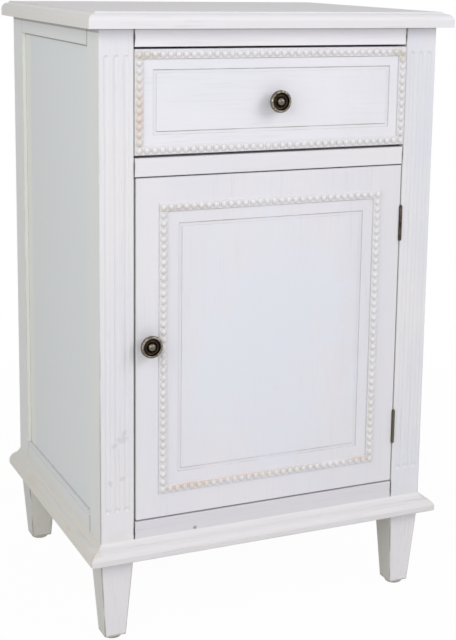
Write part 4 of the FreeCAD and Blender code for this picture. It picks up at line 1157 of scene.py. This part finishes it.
def studio_lamp(name, aim, side, rise, distance, size, power):
    """A square soft lamp, turned to one side of the front and raised by an angle."""
    side, rise = math.radians(side), math.radians(rise)
    away = Vector((math.sin(side) * math.cos(rise), -math.cos(side) * math.cos(rise), math.sin(rise)))
    lamp = bpy.data.lights.new(name, "AREA")
    lamp.size = size
    lamp.energy = power
    holder = linked(name, lamp)
    holder.location = Vector(aim) + away * distance
    holder.rotation_mode = "QUATERNION"
    holder.rotation_quaternion = (-away).to_track_quat("-Z", "Y")


def studio_camera(stage):
    """The photograph's camera."""
    eye = bpy.data.cameras.new("camera")
    camera = linked("camera", eye)
    bpy.context.scene.camera = camera
    turn, dip = -stage.camera_yaw, stage.camera_dip
    ahead = Vector((-math.sin(turn) * math.cos(dip), math.cos(turn) * math.cos(dip), -math.sin(dip)))
    right = Vector((math.cos(turn), math.sin(turn), 0))
    up = right.cross(ahead)
    roll = Matrix.Rotation(stage.camera_roll, 3, ahead * -1)
    axes = Matrix((roll @ right, roll @ up, -ahead)).transposed().to_4x4()
    camera.matrix_world = Matrix.Translation(Vector(stage.camera_place)) @ axes
    eye.sensor_width = 36.0
    eye.lens = stage.lens
    eye.shift_x = (PHOTO_WIDTH / 2 - AHEAD_X) / PHOTO_HEIGHT
    eye.shift_y = (AHEAD_Y - PHOTO_HEIGHT / 2) / PHOTO_HEIGHT


class NIGHTSTAND_OT_set_stage(bpy.types.Operator):
    """Set up the floor, the lamps and the camera"""

    bl_idname = "nightstand.set_stage"
    bl_label = "Set the stage"

    def execute(self, context):
        stage = settings("nightstand_stage")
        context.scene.view_settings.view_transform = "Standard"
        studio_camera(stage)
        studio_floor()
        studio_world(stage.sky)
        studio_lamp("key", (0, 0, 0.5), side=35, rise=28, distance=3.0, size=1.6, power=stage.key)
        studio_lamp("fill", (-0.1, -0.1, 0.55), side=-50, rise=20, distance=1.4, size=1.2, power=stage.fill)
        return {"FINISHED"}


OPERATORS = (NIGHTSTAND_OT_paint_posts, NIGHTSTAND_OT_paint_rails, NIGHTSTAND_OT_paint_panels,
             NIGHTSTAND_OT_paint_fronts, NIGHTSTAND_OT_paint_mouldings, NIGHTSTAND_OT_paint_legs,
             NIGHTSTAND_OT_string_beading, NIGHTSTAND_OT_finish_inside, NIGHTSTAND_OT_turn_knobs,
             NIGHTSTAND_OT_hang_hinges, NIGHTSTAND_OT_drive_screws, NIGHTSTAND_OT_set_stage)
GROUPS = {"nightstand_paint": PaintSettings, "nightstand_timber": TimberSettings,
          "nightstand_hardware": HardwareSettings, "nightstand_stage": StageSettings}


class NIGHTSTAND_PT_build(bpy.types.Panel):
    """Lists the steps that dress the nightstand"""

    bl_label = "Nightstand"
    bl_space_type = "VIEW_3D"
    bl_region_type = "UI"
    bl_category = "Nightstand"

    def draw(self, context):
        for operator in OPERATORS:
            self.layout.operator(operator.bl_idname)


def register():
    """Registers the settings, the operators and the panel."""
    for cls in (*GROUPS.values(), *OPERATORS, NIGHTSTAND_PT_build):
        bpy.utils.register_class(cls)
    for name, group in GROUPS.items():
        setattr(bpy.types.Scene, name, PointerProperty(type=group))


def unregister():
    """Takes them all away again."""
    for name in GROUPS:
        delattr(bpy.types.Scene, name)
    for cls in reversed((*GROUPS.values(), *OPERATORS, NIGHTSTAND_PT_build)):
        bpy.utils.unregister_class(cls)


def main():
    """Runs every step in order."""
    register()
    for operator in OPERATORS:
        family, name = operator.bl_idname.split(".")
        getattr(getattr(bpy.ops, family), name)()


if __name__ == "__main__":
    main()
